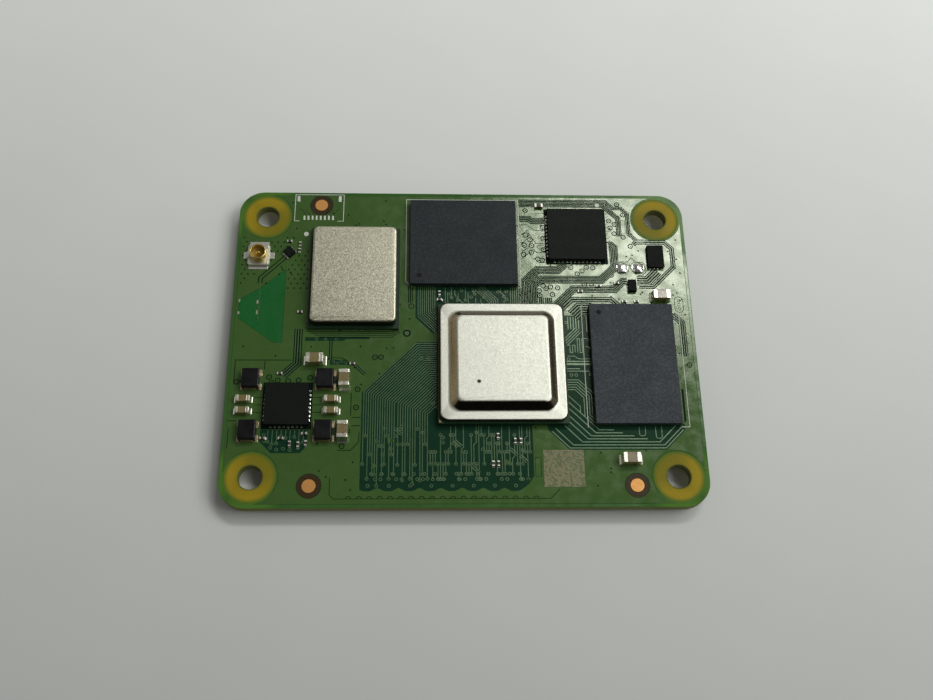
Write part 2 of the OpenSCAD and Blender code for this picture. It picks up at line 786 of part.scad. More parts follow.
module boot_flash_leads() {
    color("silver") on_top(boot_flash_x, boot_flash_y, 90)
        dual_leads(boot_flash_d, mini_leads, lead_pitch);
}

module regulator_body() {
    color("dimgrey") on_top(regulator_x, regulator_y)
        dual_body(regulator_w, regulator_d, regulator_leads_per_side, lead_pitch);
}

module regulator_leads() {
    color("silver") on_top(regulator_x, regulator_y)
        dual_leads(regulator_w, regulator_leads_per_side, lead_pitch);
}

module rf_switch_body() {
    color("dimgrey") on_top(rf_switch_x, rf_switch_y, 45)
        dual_body(rf_switch_w, rf_switch_w, rf_leads_per_side, rf_lead_pitch);
}

module rf_switch_leads() {
    color("silver") on_top(rf_switch_x, rf_switch_y, 45)
        dual_leads(rf_switch_w, rf_leads_per_side, rf_lead_pitch);
}

// Antenna socket: a moulded base, a shell with ground feet, and a centre pin.
module antenna_socket_base() {
    color("white") on_top(antenna_x, antenna_y) difference() {
        rounded_box(socket_w, socket_w, socket_base_t, 0.2);
        translate([0, -socket_signal_w / 2, 0]) cube([socket_w, socket_signal_w, socket_strip_t]);
        cylinder(d = socket_pin_d + 2 * pin_clearance, h = socket_base_t + 1, $fn = round_fn);
    }
}

// Ground strap: over the base's edge, down its side and out along the board.
module socket_strap(w) {
    inner = socket_shell_d / 2 - socket_wall;
    rotate([90, 0, 90]) translate([0, 0, -w / 2]) linear_extrude(w) polygon([
        [inner, socket_base_t],
        [socket_reach, socket_base_t],
        [socket_reach, 0],
        [socket_reach + socket_foot, 0],
        [socket_reach + socket_foot, socket_strip_t],
        [socket_reach + socket_strip_t, socket_strip_t],
        [socket_reach + socket_strip_t, socket_base_t + socket_strip_t],
        [inner, socket_base_t + socket_strip_t]]);
}

module antenna_socket_shell() {
    outer = socket_shell_d / 2;
    inner = outer - socket_wall;
    groove = 0.06;
    groove_z = socket_h - 0.45;
    groove_h = 0.2;
    color("gold") on_top(antenna_x, antenna_y) difference() {
        union() {
            rotate_extrude($fn = round_fn) polygon([
                [inner, socket_base_t],
                [outer, socket_base_t],
                [outer, groove_z],
                [outer - groove, groove_z + groove_h / 2],
                [outer, groove_z + groove_h],
                [outer, socket_h - groove],
                [outer - groove, socket_h],
                [inner, socket_h]]);
            for (turn = [0, 180]) {
                rotate([0, 0, turn]) socket_strap(socket_strap_w);
            }
            rotate([0, 0, 90]) socket_strap(socket_signal_w);
        }
        cylinder(r = inner, h = socket_h + 1, $fn = round_fn);
    }
}

// The centre pin stands on a flat tail that runs out under the base.
module antenna_socket_pin() {
    tip = 0.12;
    pin_top = socket_h - 0.15;
    tail_w = socket_signal_w - 2 * pin_clearance;
    color("gold") on_top(antenna_x, antenna_y) {
        rotate_extrude($fn = round_fn) polygon([
            [0, 0],
            [socket_pin_d / 2, 0],
            [socket_pin_d / 2, pin_top - tip],
            [socket_pin_d / 2 - tip, pin_top],
            [0, pin_top]]);
        translate([0, -tail_w / 2, 0])
            cube([socket_reach + socket_foot, tail_w, socket_strip_t]);
    }
}

// Inductors: moulded blocks on plates that turn up at each end.
module inductor() {
    translate([0, 0, inductor_plate_t])
        rounded_box(inductor_w, inductor_l - 2 * inductor_plate_t, inductor_h - inductor_plate_t, 0.18);
}

module inductor_terminal() {
    end = inductor_l / 2;
    up_w = inductor_w * 0.7;
    up_h = inductor_h / 2;
    translate([-choke_reach, end - inductor_band, 0])
        cube([2 * choke_reach, inductor_band, inductor_plate_t]);
    translate([-up_w / 2, end - inductor_plate_t, 0]) cube([up_w, inductor_plate_t, up_h]);
}

module inductor_n(i) {
    color("black") on_top(inductor_places[i][0], inductor_places[i][1]) inductor();
}

module inductor_terminals() {
    color("tan") for (place = inductor_places) {
        for (turn = [0, 180]) {
            on_top(place[0], place[1], turn) inductor_terminal();
        }
    }
}

// Chip parts: a ceramic block with plated ends, soldered in a hollow curve at each end.
module chip_body(size) {
    l = chip_l(size) - 2 * plating_t;
    w = chip_w(size) - 2 * plating_t;
    translate([0, 0, plating_t]) box(l, w, w);
}

module chip_terminals(size) {
    l = chip_l(size);
    w = chip_w(size);
    band = l * 0.23;
    difference() {
        for (turn = [0, 180]) {
            rotate([0, 0, turn]) {
                translate([l / 2 - band, -w / 2, 0]) cube([band, w, w]);
                translate([l / 2, 0, 0]) lead(w, band, w / 2, chip_toe(size));
            }
        }
        chip_body(size);
    }
}

module capacitor_n(i) {
    place = capacitor_places[i];
    color("rosybrown") on_top(place[0], place[1], place[2]) chip_body(place[3]);
}

module capacitor_terminals() {
    color("silver") for (place = capacitor_places) {
        on_top(place[0], place[1], place[2]) chip_terminals(place[3]);
    }
}

module small_passives_top() {
    color("dimgrey") for (place = small_places_top) {
        on_top(place[0], place[1], place[2]) chip_body(place[3]);
    }
}

module small_passive_terminals_top() {
    color("silver") for (place = small_places_top) {
        on_top(place[0], place[1], place[2]) chip_terminals(place[3]);
    }
}

module small_passives_under() {
    color("rosybrown") for (place = small_places_under) {
        under(place[0], place[1], place[2]) chip_body(place[3]);
    }
}

module small_passive_terminals_under() {
    color("silver") for (place = small_places_under) {
        under(place[0], place[1], place[2]) chip_terminals(place[3]);
    }
}

// Headers: a trough with contact strips folded over both of its long walls.
module header_housing() {
    end_chamfer = 0.25;
    side_l = header_l - 2 * header_end_l;
    translate([-header_l / 2, -header_w / 2, floor_z]) cube([header_l, header_w, header_floor_t]);
    for (side = [-1, 1]) {
        translate([-side_l / 2, side * (header_w - header_wall) / 2 - header_wall / 2, wall_z])
            cube([side_l, header_wall, floor_z - wall_z]);
        translate([side * (header_l - header_end_l) / 2, 0, 0]) rotate([90, 0, 0])
            translate([0, 0, -header_w / 2]) linear_extrude(header_w) polygon([
                [-header_end_l / 2, floor_z],
                [-header_end_l / 2, side < 0 ? end_chamfer : 0],
                [side < 0 ? end_chamfer - header_end_l / 2 : -header_end_l / 2, 0],
                [side < 0 ? header_end_l / 2 : header_end_l / 2 - end_chamfer, 0],
                [header_end_l / 2, side < 0 ? 0 : end_chamfer],
                [header_end_l / 2, floor_z]]);
    }
}

// One strip in section, for the wall at +Y: foot on the board, outer face, crest, inner face.
module contact_strip() {
    outer = header_w / 2;
    inner = outer - header_wall;
    crest = wall_z - contact_t;
    bend = contact_t / 2;
    inner_end = floor_z - contact_t;
    linear_extrude(contact_w) polygon([
        [outer, board_bottom],
        [outer, wall_z],
        [inner, wall_z],
        [inner, inner_end],
        [inner - contact_t, inner_end],
        [inner - contact_t, crest + bend],
        [inner - contact_t + bend, crest],
        [outer + contact_t - bend, crest],
        [outer + contact_t, crest + bend],
        [outer + contact_t, board_bottom - contact_t],
        [outer + contact_foot, board_bottom - contact_t],
        [outer + contact_foot, board_bottom]]);
}

module header_contacts_row() {
    for (i = [0 : header_contacts - 1]) {
        translate([centred(i, header_contacts) * header_pitch - contact_w / 2, 0, 0])
            rotate([90, 0, 90]) contact_strip();
    }
}

module header_contact_rows() {
    for (turn = [0, 180]) {
        rotate([0, 0, turn]) header_contacts_row();
    }
}

module front_connector_housing() {
    color("black") translate([header_x, -header_y, 0]) header_housing();
}

module front_connector_contacts() {
    color("gold") translate([header_x, -header_y, 0]) header_contact_rows();
}

module rear_connector_housing() {
    color("black") translate([header_x, header_y, 0]) header_housing();
}

module rear_connector_contacts() {
    color("gold") translate([header_x, header_y, 0]) header_contact_rows();
}

circuit_board();
fiducials();
spare_connector_pads();
spare_solder_pads();
soc_substrate();
soc_lid();
soc_die();
soc_thermal_layer();
soc_solder_balls();
flash_package();
flash_substrate();
flash_solder_balls();
memory_package();
memory_substrate();
memory_solder_balls();
radio_substrate();
radio_shield();
radio_chip();
radio_crystal();
radio_solder_pads();
power_controller_body();
power_controller_leads();
ethernet_controller_body();
ethernet_controller_leads();
boot_flash_body();
boot_flash_leads();
regulator_body();
regulator_leads();
rf_switch_body();
rf_switch_leads();
antenna_socket_base();
antenna_socket_shell();
antenna_socket_pin();
inductor_terminals();
capacitor_terminals();
small_passives_top();
small_passive_terminals_top();
small_passives_under();
small_passive_terminals_under();
front_connector_housing();
front_connector_contacts();
rear_connector_housing();
rear_connector_contacts();
for (i = [1 : len(inductor_places)]) {
    inductor_n(i - 1);
}
for (i = [1 : len(capacitor_places)]) {
    capacitor_n(i - 1);
}
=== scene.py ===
"""Looks of the system on module: board artwork, metals, moulded packages and a studio set.

Lengths are in millimetres, in the frame of the CAD model, and turn to metres where a mesh,
a light or the camera is made.
"""
import math
import random

import bpy
from mathutils import Matrix, Vector
from mathutils.geometry import tessellate_polygon


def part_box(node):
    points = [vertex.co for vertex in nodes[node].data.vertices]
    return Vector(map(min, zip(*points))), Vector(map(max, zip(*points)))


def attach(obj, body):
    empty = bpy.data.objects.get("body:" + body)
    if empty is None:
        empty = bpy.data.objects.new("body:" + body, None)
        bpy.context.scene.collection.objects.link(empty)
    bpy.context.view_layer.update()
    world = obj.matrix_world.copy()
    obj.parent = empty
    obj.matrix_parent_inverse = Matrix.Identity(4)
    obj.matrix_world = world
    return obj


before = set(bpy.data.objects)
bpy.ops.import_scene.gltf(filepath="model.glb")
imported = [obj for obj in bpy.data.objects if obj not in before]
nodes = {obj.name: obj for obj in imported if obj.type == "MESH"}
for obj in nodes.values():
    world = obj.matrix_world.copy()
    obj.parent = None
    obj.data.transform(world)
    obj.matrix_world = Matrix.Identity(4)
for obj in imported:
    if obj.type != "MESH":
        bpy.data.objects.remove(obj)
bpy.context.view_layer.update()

MM = 0.001
rng = random.Random(11)


def span(node):
    """Lowest and highest corner of a CAD node, in millimetres."""
    low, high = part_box(node)
    return low / MM, high / MM


board_low, board_high = span("circuit_board")
HALF_W = board_high.x
HALF_D = board_high.y
TOP = board_high.z
BOTTOM = board_low.z
HOLE_INSET = 3.5
HOLE_X = HALF_W - HOLE_INSET
HOLE_Y = HALF_D - HOLE_INSET
HOLE_R = 1.35
RING_R = 2.93
FIDUCIALS = [(-17.5, 18.2), (-17.5, -17.5), (19.2, -17.5)]
FIDUCIAL_INNER_R = 0.79
FIDUCIAL_CLEAR_R = 1.42

# Photo frame and camera, in pixels and millimetres.
FRAME_W = 933
FOCAL_PX = 1012.0
SENSOR = 36.0
CAMERA_AT = Vector((-4.69, -46.39, 112.2))
CAMERA_RIGHT = Vector((0.99914, -0.01304, 0.03925))
CAMERA_UP = Vector((-0.00288, 0.92474, 0.38058))

# Heights of the artwork above the board's faces.
KEEPOUT_LIFT = 0.01
FILM_LIFT = 0.012
COPPER_LIFT = 0.035
GAP_LIFT = 0.037
BUS_LIFT = 0.05
VIA_LIFT = 0.055
SILK_LIFT = 0.06
# Plates that cross in one layer take this many heights in turn, so far apart.
LAYER_STEPS = 8
LAYER_STEP = 0.0004


# Materials

def srgb(r, g, b):
    """A colour of 0 to 255 a channel, as linear values with alpha."""
    def linear(c):
        c /= 255
        return c / 12.92 if c <= 0.04045 else ((c + 0.055) / 1.055) ** 2.4
    return (linear(r), linear(g), linear(b), 1.0)


class Paint:
    """A material with one surface shader, and short calls for the nodes that feed it."""

    def __init__(self, name, **settings):
        self.material = bpy.data.materials.new(name)
        self.material.use_nodes = True
        self.tree = self.material.node_tree
        self.surface = self.tree.nodes["Principled BSDF"]
        self.place = self.node("ShaderNodeTexCoord").outputs["Object"]
        for key, value in settings.items():
            self.feed(value, self.surface.inputs[key.replace("_", " ")])

    def node(self, kind, **settings):
        made = self.tree.nodes.new(kind)
        for key, value in settings.items():
            setattr(made, key, value)
        return made

    def feed(self, value, socket):
        if isinstance(value, bpy.types.NodeSocket):
            self.tree.links.new(value, socket)
        else:
            socket.default_value = value

    def set(self, name, value):
        self.feed(value, self.surface.inputs[name])

    def math(self, operation, a, b=0.0):
        made = self.node("ShaderNodeMath", operation=operation)
        self.feed(a, made.inputs[0])
        self.feed(b, made.inputs[1])
        return made.outputs[0]

    def axes(self, source=None):
        """X, Y and Z of a place, as three values in metres."""
        made = self.node("ShaderNodeSeparateXYZ")
        self.feed(source or self.place, made.inputs[0])
        return made.outputs[0], made.outputs[1], made.outputs[2]

    def stretched(self, x, y, z):
        """The place with its axes scaled, for grain that runs one way."""
        made = self.node("ShaderNodeMapping")
        self.feed(self.place, made.inputs["Vector"])
        made.inputs["Scale"].default_value = (x, y, z)
        return made.outputs[0]

    def noise(self, size, detail=2.0, place=None):
        """Noise from 0 to 1 whose blots are about so many millimetres across."""
        made = self.node("ShaderNodeTexNoise")
        self.feed(place or self.place, made.inputs["Vector"])
        made.inputs["Scale"].default_value = 1 / (size * MM)
        made.inputs["Detail"].default_value = detail
        return made.outputs["Fac"]

    def cells(self, size):
        """A random value from 0 to 1 for each cell of about that size."""
        made = self.node("ShaderNodeTexVoronoi")
        self.feed(self.place, made.inputs["Vector"])
        made.inputs["Scale"].default_value = 1 / (size * MM)
        return self.axes(made.outputs["Color"])[0]

    def spread(self, value, low, high, out_low=0.0, out_high=1.0, smooth=True):
        """The value mapped from one span to another, and held at its ends."""
        kind = "SMOOTHSTEP" if smooth else "LINEAR"
        made = self.node("ShaderNodeMapRange", interpolation_type=kind)
        for socket, number in zip(made.inputs, (value, low, high, out_low, out_high)):
            self.feed(number, socket)
        return made.outputs[0]

    def mix(self, factor, a, b):
        made = self.node("ShaderNodeMix", data_type="RGBA")
        self.feed(factor, made.inputs[0])
        self.feed(a, made.inputs[6])
        self.feed(b, made.inputs[7])
        return made.outputs[2]

    def shaded(self, colour, low, high, factor):
        """The colour times a brightness that runs from low to high with the factor."""
        level = self.spread(factor, 0.0, 1.0, low, high, smooth=False)
        made = self.node("ShaderNodeVectorMath", operation="SCALE")
        self.feed(colour[:3] if isinstance(colour, tuple) else colour, made.inputs[0])
        self.feed(level, made.inputs["Scale"])
        return made.outputs[0]

    def bump(self, height, depth):
        """Relief from a height of 0 to 1, so many millimetres deep."""
        made = self.node("ShaderNodeBump")
        made.inputs["Distance"].default_value = depth * MM
        self.feed(height, made.inputs["Height"])
        self.set("Normal", made.outputs[0])

    def add(self, a, b):
        return self.math("ADD", a, b)

    def times(self, a, b):
        return self.math("MULTIPLY", a, b)

    def minus(self, a, b):
        return self.math("SUBTRACT", a, b)

    def made_of(self, name):
        """What feeds one of the surface's sockets so far."""
        return self.surface.inputs[name].links[0].from_socket

    def normal(self):
        """The surface normal's X, Y and Z."""
        return self.axes(self.node("ShaderNodeNewGeometry").outputs["Normal"])

    def distance(self, x, y, at_x, at_y):
        """Distance between two places in the plane of the board, in millimetres."""
        along = self.minus(x, at_x * MM)
        across = self.minus(y, at_y * MM)
        squares = self.add(self.times(along, along), self.times(across, across))
        return self.math("DIVIDE", self.math("SQRT", squares), MM)

    def axis_distance(self, at_x, at_y):
        """Distance from the upright axis through that place, in millimetres."""
        x, y, _ = self.axes()
        return self.distance(x, y, at_x, at_y)

    def corner_radius(self):
        """Distance from the nearest bolt hole's axis, in millimetres."""
        x, y, _ = self.axes()
        return self.distance(self.math("ABSOLUTE", x), self.math("ABSOLUTE", y), HOLE_X, HOLE_Y)

    def edge_distance(self):
        """Distance from the nearest side of the board, in millimetres."""
        x, y, _ = self.axes()
        along = self.minus(HALF_W * MM, self.math("ABSOLUTE", x))
        across = self.minus(HALF_D * MM, self.math("ABSOLUTE", y))
        return self.math("DIVIDE", self.math("MINIMUM", along, across), MM)


def weave(paint, pitch):
    """Height of a plain glass weave."""
    x, y, _ = paint.axes()
    turn = 2 * math.pi / (pitch * MM)
    warp = paint.math("SINE", paint.times(x, turn))
    weft = paint.math("SINE", paint.times(y, turn))
    return paint.spread(paint.times(warp, weft), -1.0, 1.0, smooth=False)


def mask_paint(name, colour, rough, shine, peel=0.012):
    """Soldermask: cloudy colour, fine specks and an orange-peel skin."""
    paint = Paint(name, Specular_IOR_Level=shine, Specular_Tint=srgb(242, 246, 228))
    cloud = paint.noise(7.0, 3.0)
    speck = paint.noise(0.16, 3.0)
    tone = paint.shaded(colour, 0.84, 1.16, cloud)
    tone = paint.shaded(tone, 0.8, 1.2, speck)
    paint.set("Base Color", tone)
    paint.set("Roughness", paint.spread(paint.noise(1.3), 0.3, 0.7, rough, rough + 0.1))
    skin = paint.add(paint.times(paint.noise(0.9), 0.7), paint.times(speck, 0.3))
    paint.bump(skin, peel)
    return paint


def board_paint():
    """Bare mask on the faces, brighter where light comes through near the sides, which are cut glass."""
    paint = mask_paint("mask_on_laminate", srgb(21, 53, 37), 0.2, 0.12)
    radius = paint.corner_radius()
    inset = paint.edge_distance()
    corner = paint.times(paint.spread(radius, 4.8, 3.4), paint.spread(inset, 2.2, 0.6))
    lit = paint.mix(paint.spread(inset, 0.75, 0.25), paint.made_of("Base Color"), srgb(56, 96, 44))
    lit = paint.mix(paint.spread(radius, 3.4, 2.9), lit, srgb(62, 92, 40))
    lit = paint.mix(paint.times(corner, 0.6), lit, srgb(86, 124, 48))
    layers = paint.noise(0.5, 3.0, paint.stretched(0.12, 0.12, 3.0))
    cut = paint.shaded(srgb(108, 112, 62), 0.6, 1.25, layers)
    flat = paint.spread(paint.math("ABSOLUTE", paint.normal()[2]), 0.4, 0.8)
    paint.set("Base Color", paint.mix(flat, cut, lit))
    paint.set("Roughness", paint.spread(flat, 0.0, 1.0, 0.6, 0.22))
    return paint.material


def bare_laminate_paint():
    """Bare glass laminate round the bolt holes, lit through the board's sides, greener at the mask."""
    paint = Paint("bare_laminate", Specular_IOR_Level=0.05)
    radius = paint.corner_radius()
    cloth = weave(paint, 0.55)
    cloud = paint.noise(0.9, 3.0)
    dim = paint.spread(paint.edge_distance(), 1.0, 3.7)
    inner = paint.mix(dim, srgb(151, 131, 34), srgb(120, 112, 33))
    grain = paint.add(paint.times(cloud, 0.7), paint.times(cloth, 0.3))
    inner = paint.shaded(inner, 0.85, 1.15, grain)
    rim = paint.spread(radius, RING_R - 0.6, RING_R + 0.1)
    bore = paint.spread(radius, HOLE_R + 0.3, HOLE_R)
    tone = paint.mix(rim, inner, srgb(76, 104, 40))
    tone = paint.mix(paint.times(bore, 0.6), tone, srgb(96, 84, 34))
    paint.set("Base Color", tone)
    paint.set("Roughness", paint.spread(cloud, 0.3, 0.7, 0.32, 0.5))
    paint.bump(paint.add(paint.times(cloth, 0.4), cloud), 0.012)
    return paint.material


def rim_paint():
    """Glossy mask along the board's sides, duller toward the rear."""
    dull, glossy = 0.12, 0.75
    paint = mask_paint("mask_on_rim", srgb(54, 92, 42), 0.16, glossy)
    shine = paint.spread(paint.axes()[1], 12.5 * MM, 9.0 * MM, dull, glossy)
    paint.set("Specular IOR Level", shine)
    return paint.material


def metal_paint(name, colour, rough_low, rough_high, grain, depth, contrast=0.12):
    """Plain metal with a fine cast or plated grain."""
    paint = Paint(name, Metallic=1.0)
    fine = paint.noise(grain, 3.0)
    broad = paint.noise(grain * 9, 2.0)
    tone = paint.shaded(colour, 1 - contrast, 1 + contrast, fine)
    paint.set("Base Color", paint.shaded(tone, 0.97, 1.03, broad))
    paint.set("Roughness", paint.spread(paint.noise(grain * 3), 0.3, 0.7, rough_low, rough_high))
    paint.bump(fine, depth)
    return paint


LID_DOT_AT = (1.5, -5.95)


def lid_paint():
    """Satin nickel: blasted flats, smoother drawn walls darkened as painted shade and lighter where they
    face left as painted light, and an etched pin-one dot.
    """
    paint = metal_paint("satin_nickel", srgb(221, 221, 209), 0.51, 0.58, 0.14, 0.012, 0.3)
    lean, _, rise = paint.normal()
    flat = paint.spread(rise, 0.78, 0.95)
    # Painted shade on the sloped walls, and painted light on the walls that face left.
    painted_wall_shade_and_light = paint.mix(paint.spread(lean, -0.2, -0.5), srgb(98, 89, 73), srgb(150, 135, 103))
    tone = paint.mix(flat, painted_wall_shade_and_light, paint.made_of("Base Color"))
    matt = paint.times(flat, paint.made_of("Roughness"))
    paint.set("Roughness", paint.add(matt, paint.spread(flat, 1.0, 0.0, 0.0, 0.18)))
    dot = paint.spread(paint.axis_distance(*LID_DOT_AT), 0.26, 0.18)
    paint.set("Base Color", paint.mix(dot, tone, srgb(62, 60, 56)))
    return paint.material


def shield_paint():
    """Tinned steel: beige-grey, with a sparkling crystal grain, and darker walls as painted shade."""
    paint = Paint("tinned_steel", Metallic=1.0)
    crystal = paint.cells(0.12)
    fine = paint.noise(0.22, 3.0)
    cloud = paint.noise(4.0, 2.0)
    tone = paint.shaded(srgb(192, 188, 168), 0.85, 1.15, crystal)
    tone = paint.shaded(tone, 0.5, 1.5, fine)
    tone = paint.shaded(tone, 0.94, 1.06, cloud)
    # Painted shade: the walls are darker than the flat top.
    flat = paint.spread(paint.normal()[2], 0.1, 0.75)
    paint.set("Base Color", paint.mix(flat, srgb(70, 66, 56), tone))
    paint.set("Roughness", paint.spread(crystal, 0.0, 1.0, 0.36, 0.5))
    paint.bump(paint.add(paint.times(crystal, 0.6), fine), 0.014)
    return paint.material


socket_low, socket_high = span("antenna_socket_base")
SOCKET_AT = ((socket_low.x + socket_high.x) / 2, (socket_low.y + socket_high.y) / 2)


def socket_shell_paint():
    """Gold barrel round the pin, tinned straps and feet further out."""
    paint = metal_paint("socket_shell", srgb(234, 208, 128), 0.2, 0.32, 0.25, 0.008)
    strap = paint.spread(paint.axis_distance(*SOCKET_AT), 1.0, 1.1)
    paint.set("Base Color", paint.mix(strap, paint.made_of("Base Color"), srgb(224, 223, 210)))
    paint.set("Roughness", paint.spread(strap, 0.0, 1.0, 0.24, 0.34))
    return paint.material


def socket_base_paint():
    """White moulding, with painted shade and a painted gold reflection inside the gold barrel."""
    paint = Paint("white_moulding", Roughness=0.42)
    fine = paint.noise(0.2, 3.0)
    # Painted shade and painted gold reflection inside the barrel.
    outside = paint.spread(paint.axis_distance(*SOCKET_AT), 0.8, 0.95)
    tone = paint.mix(outside, srgb(152, 126, 58), srgb(206, 204, 184))
    paint.set("Base Color", paint.shaded(tone, 0.94, 1.06, fine))
    paint.bump(fine, 0.008)
    return paint.material


def mould_paint(name, colour, speck_level, rough, shine=0.25):
    """Moulding compound: matt, with pale filler specks."""
    paint = Paint(name, Specular_IOR_Level=shine)
    filler = paint.spread(paint.noise(0.2, 3.0), 0.42, 0.7)
    cloud = paint.noise(3.0, 3.0)
    tone = paint.shaded(colour, 0.95, 1.05, cloud)
    bright = tuple(min(1.0, c * speck_level) for c in colour[:3]) + (1.0,)
    paint.set("Base Color", paint.mix(filler, tone, bright))
    paint.set("Roughness", paint.spread(cloud, 0.3, 0.7, rough - 0.06, rough + 0.06))
    paint.bump(paint.noise(0.1, 3.0), 0.008)
    return paint.material


def plain_paint(name, colour, rough, grain, contrast=0.15, depth=0.008, shine=0.5):
    """Ceramic, ink or plastic: mottled colour and a fine uneven skin."""
    paint = Paint(name, Specular_IOR_Level=shine)
    fine = paint.noise(grain, 3.0)
    broad = paint.noise(grain * 8, 2.0)
    tone = paint.shaded(colour, 1 - contrast, 1 + contrast, fine)
    paint.set("Base Color", paint.shaded(tone, 0.93, 1.07, broad))
    paint.set("Roughness", paint.spread(broad, 0.3, 0.7, rough - 0.06, rough + 0.06))
    paint.bump(fine, depth)
    return paint.material


def patch_paint():
    """Tan ink, worn through to the green mask in soft-edged blots; it spells nothing."""
    paint = Paint("mottled_ink")
    blots = paint.spread(paint.noise(0.28, 1.0), 0.4, 0.58)
    fine = paint.noise(0.15, 2.0)
    ink = paint.shaded(srgb(116, 113, 76), 0.85, 1.15, fine)
    paint.set("Base Color", paint.mix(blots, srgb(86, 96, 56), ink))
    paint.set("Roughness", paint.spread(blots, 0.0, 1.0, 0.3, 0.55))
    paint.bump(blots, 0.01)
    return paint.material


MASK_BARE = board_paint()
MASK_DARK = mask_paint("mask_dark", srgb(12, 30, 19), 0.4, 0.05).material
MASK_POUR = mask_paint("mask_on_copper", srgb(60, 90, 40), 0.13, 0.75).material
MASK_TRACE = mask_paint("mask_on_trace", srgb(64, 94, 60), 0.26, 0.95, 0.02).material
# A lighter copy of mask_on_trace: painted highlight on the lines between processor and memory.
MASK_TRACE_PAINTED_GLARE = mask_paint("mask_on_trace_painted_glare", srgb(90, 122, 88), 0.26, 0.95, 0.02).material
MASK_BUS = mask_paint("mask_on_bus", srgb(66, 94, 58), 0.18, 0.62, 0.02).material
MASK_RIM = rim_paint()
MASK_KEEPOUT = mask_paint("mask_keepout", srgb(24, 92, 41), 0.25, 0.3).material
LAMINATE = bare_laminate_paint()
SILK = plain_paint("white_ink", srgb(206, 210, 198), 0.5, 0.12, 0.12, 0.012)
PATCH = patch_paint()
COPPER = metal_paint("bare_copper", srgb(204, 151, 90), 0.52, 0.62, 0.12, 0.003, 0.06).material
TERMINAL = metal_paint("tinned_brass", srgb(206, 186, 150), 0.25, 0.4, 0.25, 0.01, 0.1).material
BURNT = plain_paint("brown_clearance", srgb(52, 40, 16), 0.45, 0.2, shine=0.2)
TIN = metal_paint("solder", srgb(222, 222, 216), 0.14, 0.3, 0.3, 0.03, 0.08).material
PAD = metal_paint("tinned_pads", srgb(212, 213, 204), 0.44, 0.56, 0.2, 0.015, 0.08).material
HEAPED = metal_paint("heaped_solder", srgb(230, 231, 224), 0.2, 0.3, 0.8, 0.11, 0.06).material
NICKEL = metal_paint("nickel_ends", srgb(236, 232, 216), 0.27, 0.38, 0.25, 0.012, 0.1).material
CHIP_END = metal_paint("chip_ends", srgb(214, 212, 202), 0.42, 0.54, 0.2, 0.012, 0.12).material
LID = lid_paint()
SHIELD = shield_paint()
MOULD_MEMORY = mould_paint("mould_memory", srgb(44, 49, 53), 2.0, 0.62)
MOULD_FLASH = mould_paint("mould_flash", srgb(31, 36, 39), 1.8, 0.62)
MOULD_QUAD = mould_paint("mould_quad", srgb(16, 19, 17), 1.6, 0.7, 0.12)
MOULD_NETWORK = mould_paint("mould_network", srgb(24, 27, 25), 1.6, 0.7, 0.12)
FERRITE = plain_paint("ferrite", srgb(10, 10, 12), 0.36, 0.14, 0.3, 0.012, 0.26)
CERAMIC = plain_paint("ceramic", srgb(117, 104, 66), 0.3, 0.2, 0.12, shine=0.9)
RESISTIVE = plain_paint("chip_ceramic", srgb(58, 50, 44), 0.45, 0.15, 0.25)
SOCKET = socket_base_paint()
GOLD = metal_paint("gold_plate", srgb(232, 190, 112), 0.18, 0.28, 0.25, 0.008).material
SHELL = socket_shell_paint()
HEADER = plain_paint("header_moulding", srgb(34, 33, 32), 0.5, 0.15, 0.2)
SUBSTRATE = mask_paint("package_laminate", srgb(24, 48, 30), 0.4, 0.3).material
SUBSTRATE_DARK = plain_paint("package_core", srgb(40, 46, 30), 0.5, 0.15, 0.2)
SILICON = metal_paint("silicon", srgb(96, 98, 104), 0.12, 0.2, 0.5, 0.002).material
PASTE = plain_paint("thermal_paste", srgb(172, 172, 170), 0.5, 0.2)

# Finish of each CAD node: material, and the softening of its edges in millimetres.
FINISH = {
    "circuit_board": (MASK_BARE, 0.05),
    "fiducials": (COPPER, 0.01),
    "spare_connector_pads": (PAD, 0.015),
    "spare_solder_pads": (HEAPED, 0.02),
    "soc_substrate": (SUBSTRATE, 0.03),
    "soc_lid": (LID, 0.0),
    "soc_die": (SILICON, 0.0),
    "soc_thermal_layer": (PASTE, 0.0),
    "flash_package": (MOULD_FLASH, 0.05),
    "flash_substrate": (SUBSTRATE_DARK, 0.02),
    "memory_package": (MOULD_MEMORY, 0.05),
    "memory_substrate": (SUBSTRATE_DARK, 0.02),
    "radio_substrate": (SUBSTRATE, 0.03),
    "radio_shield": (SHIELD, 0.0),
    "radio_chip": (MOULD_QUAD, 0.0),
    "radio_crystal": (TIN, 0.0),
    "radio_solder_pads": (TIN, 0.01),
    "antenna_socket_base": (SOCKET, 0.04),
    "antenna_socket_shell": (SHELL, 0.02),
    "antenna_socket_pin": (SHELL, 0.02),
    "inductor_terminals": (TERMINAL, 0.02),
    "capacitor_terminals": (NICKEL, 0.08),
    "small_passives_top": (RESISTIVE, 0.015),
    "small_passive_terminals_top": (CHIP_END, 0.02),
    "small_passives_under": (CERAMIC, 0.02),
    "small_passive_terminals_under": (TIN, 0.025),
}
for package in ("soc", "flash", "memory"):
    FINISH[package + "_solder_balls"] = (TIN, 0.0)
for chip in ("power_controller", "ethernet_controller", "boot_flash", "regulator", "rf_switch"):
    FINISH[chip + "_body"] = (MOULD_NETWORK if chip == "ethernet_controller" else MOULD_QUAD, 0.03)
    FINISH[chip + "_leads"] = (TIN, 0.012)
for side in ("front", "rear"):
    FINISH[side + "_connector_housing"] = (HEADER, 0.04)
    FINISH[side + "_connector_contacts"] = (GOLD, 0.012)
for name in nodes:
    if name.startswith("inductor_") and name not in FINISH:
        FINISH[name] = (FERRITE, 0.12)
    elif name.startswith("capacitor_") and name not in FINISH:
        FINISH[name] = (CERAMIC, 0.05)


# Softer edges on the CAD nodes

ROUND_ANGLE = math.radians(35)
FLAT_ANGLE = math.radians(15)
SAME_PLANE = math.radians(1)
WELD = 0.002
BEVEL_STEPS = 3


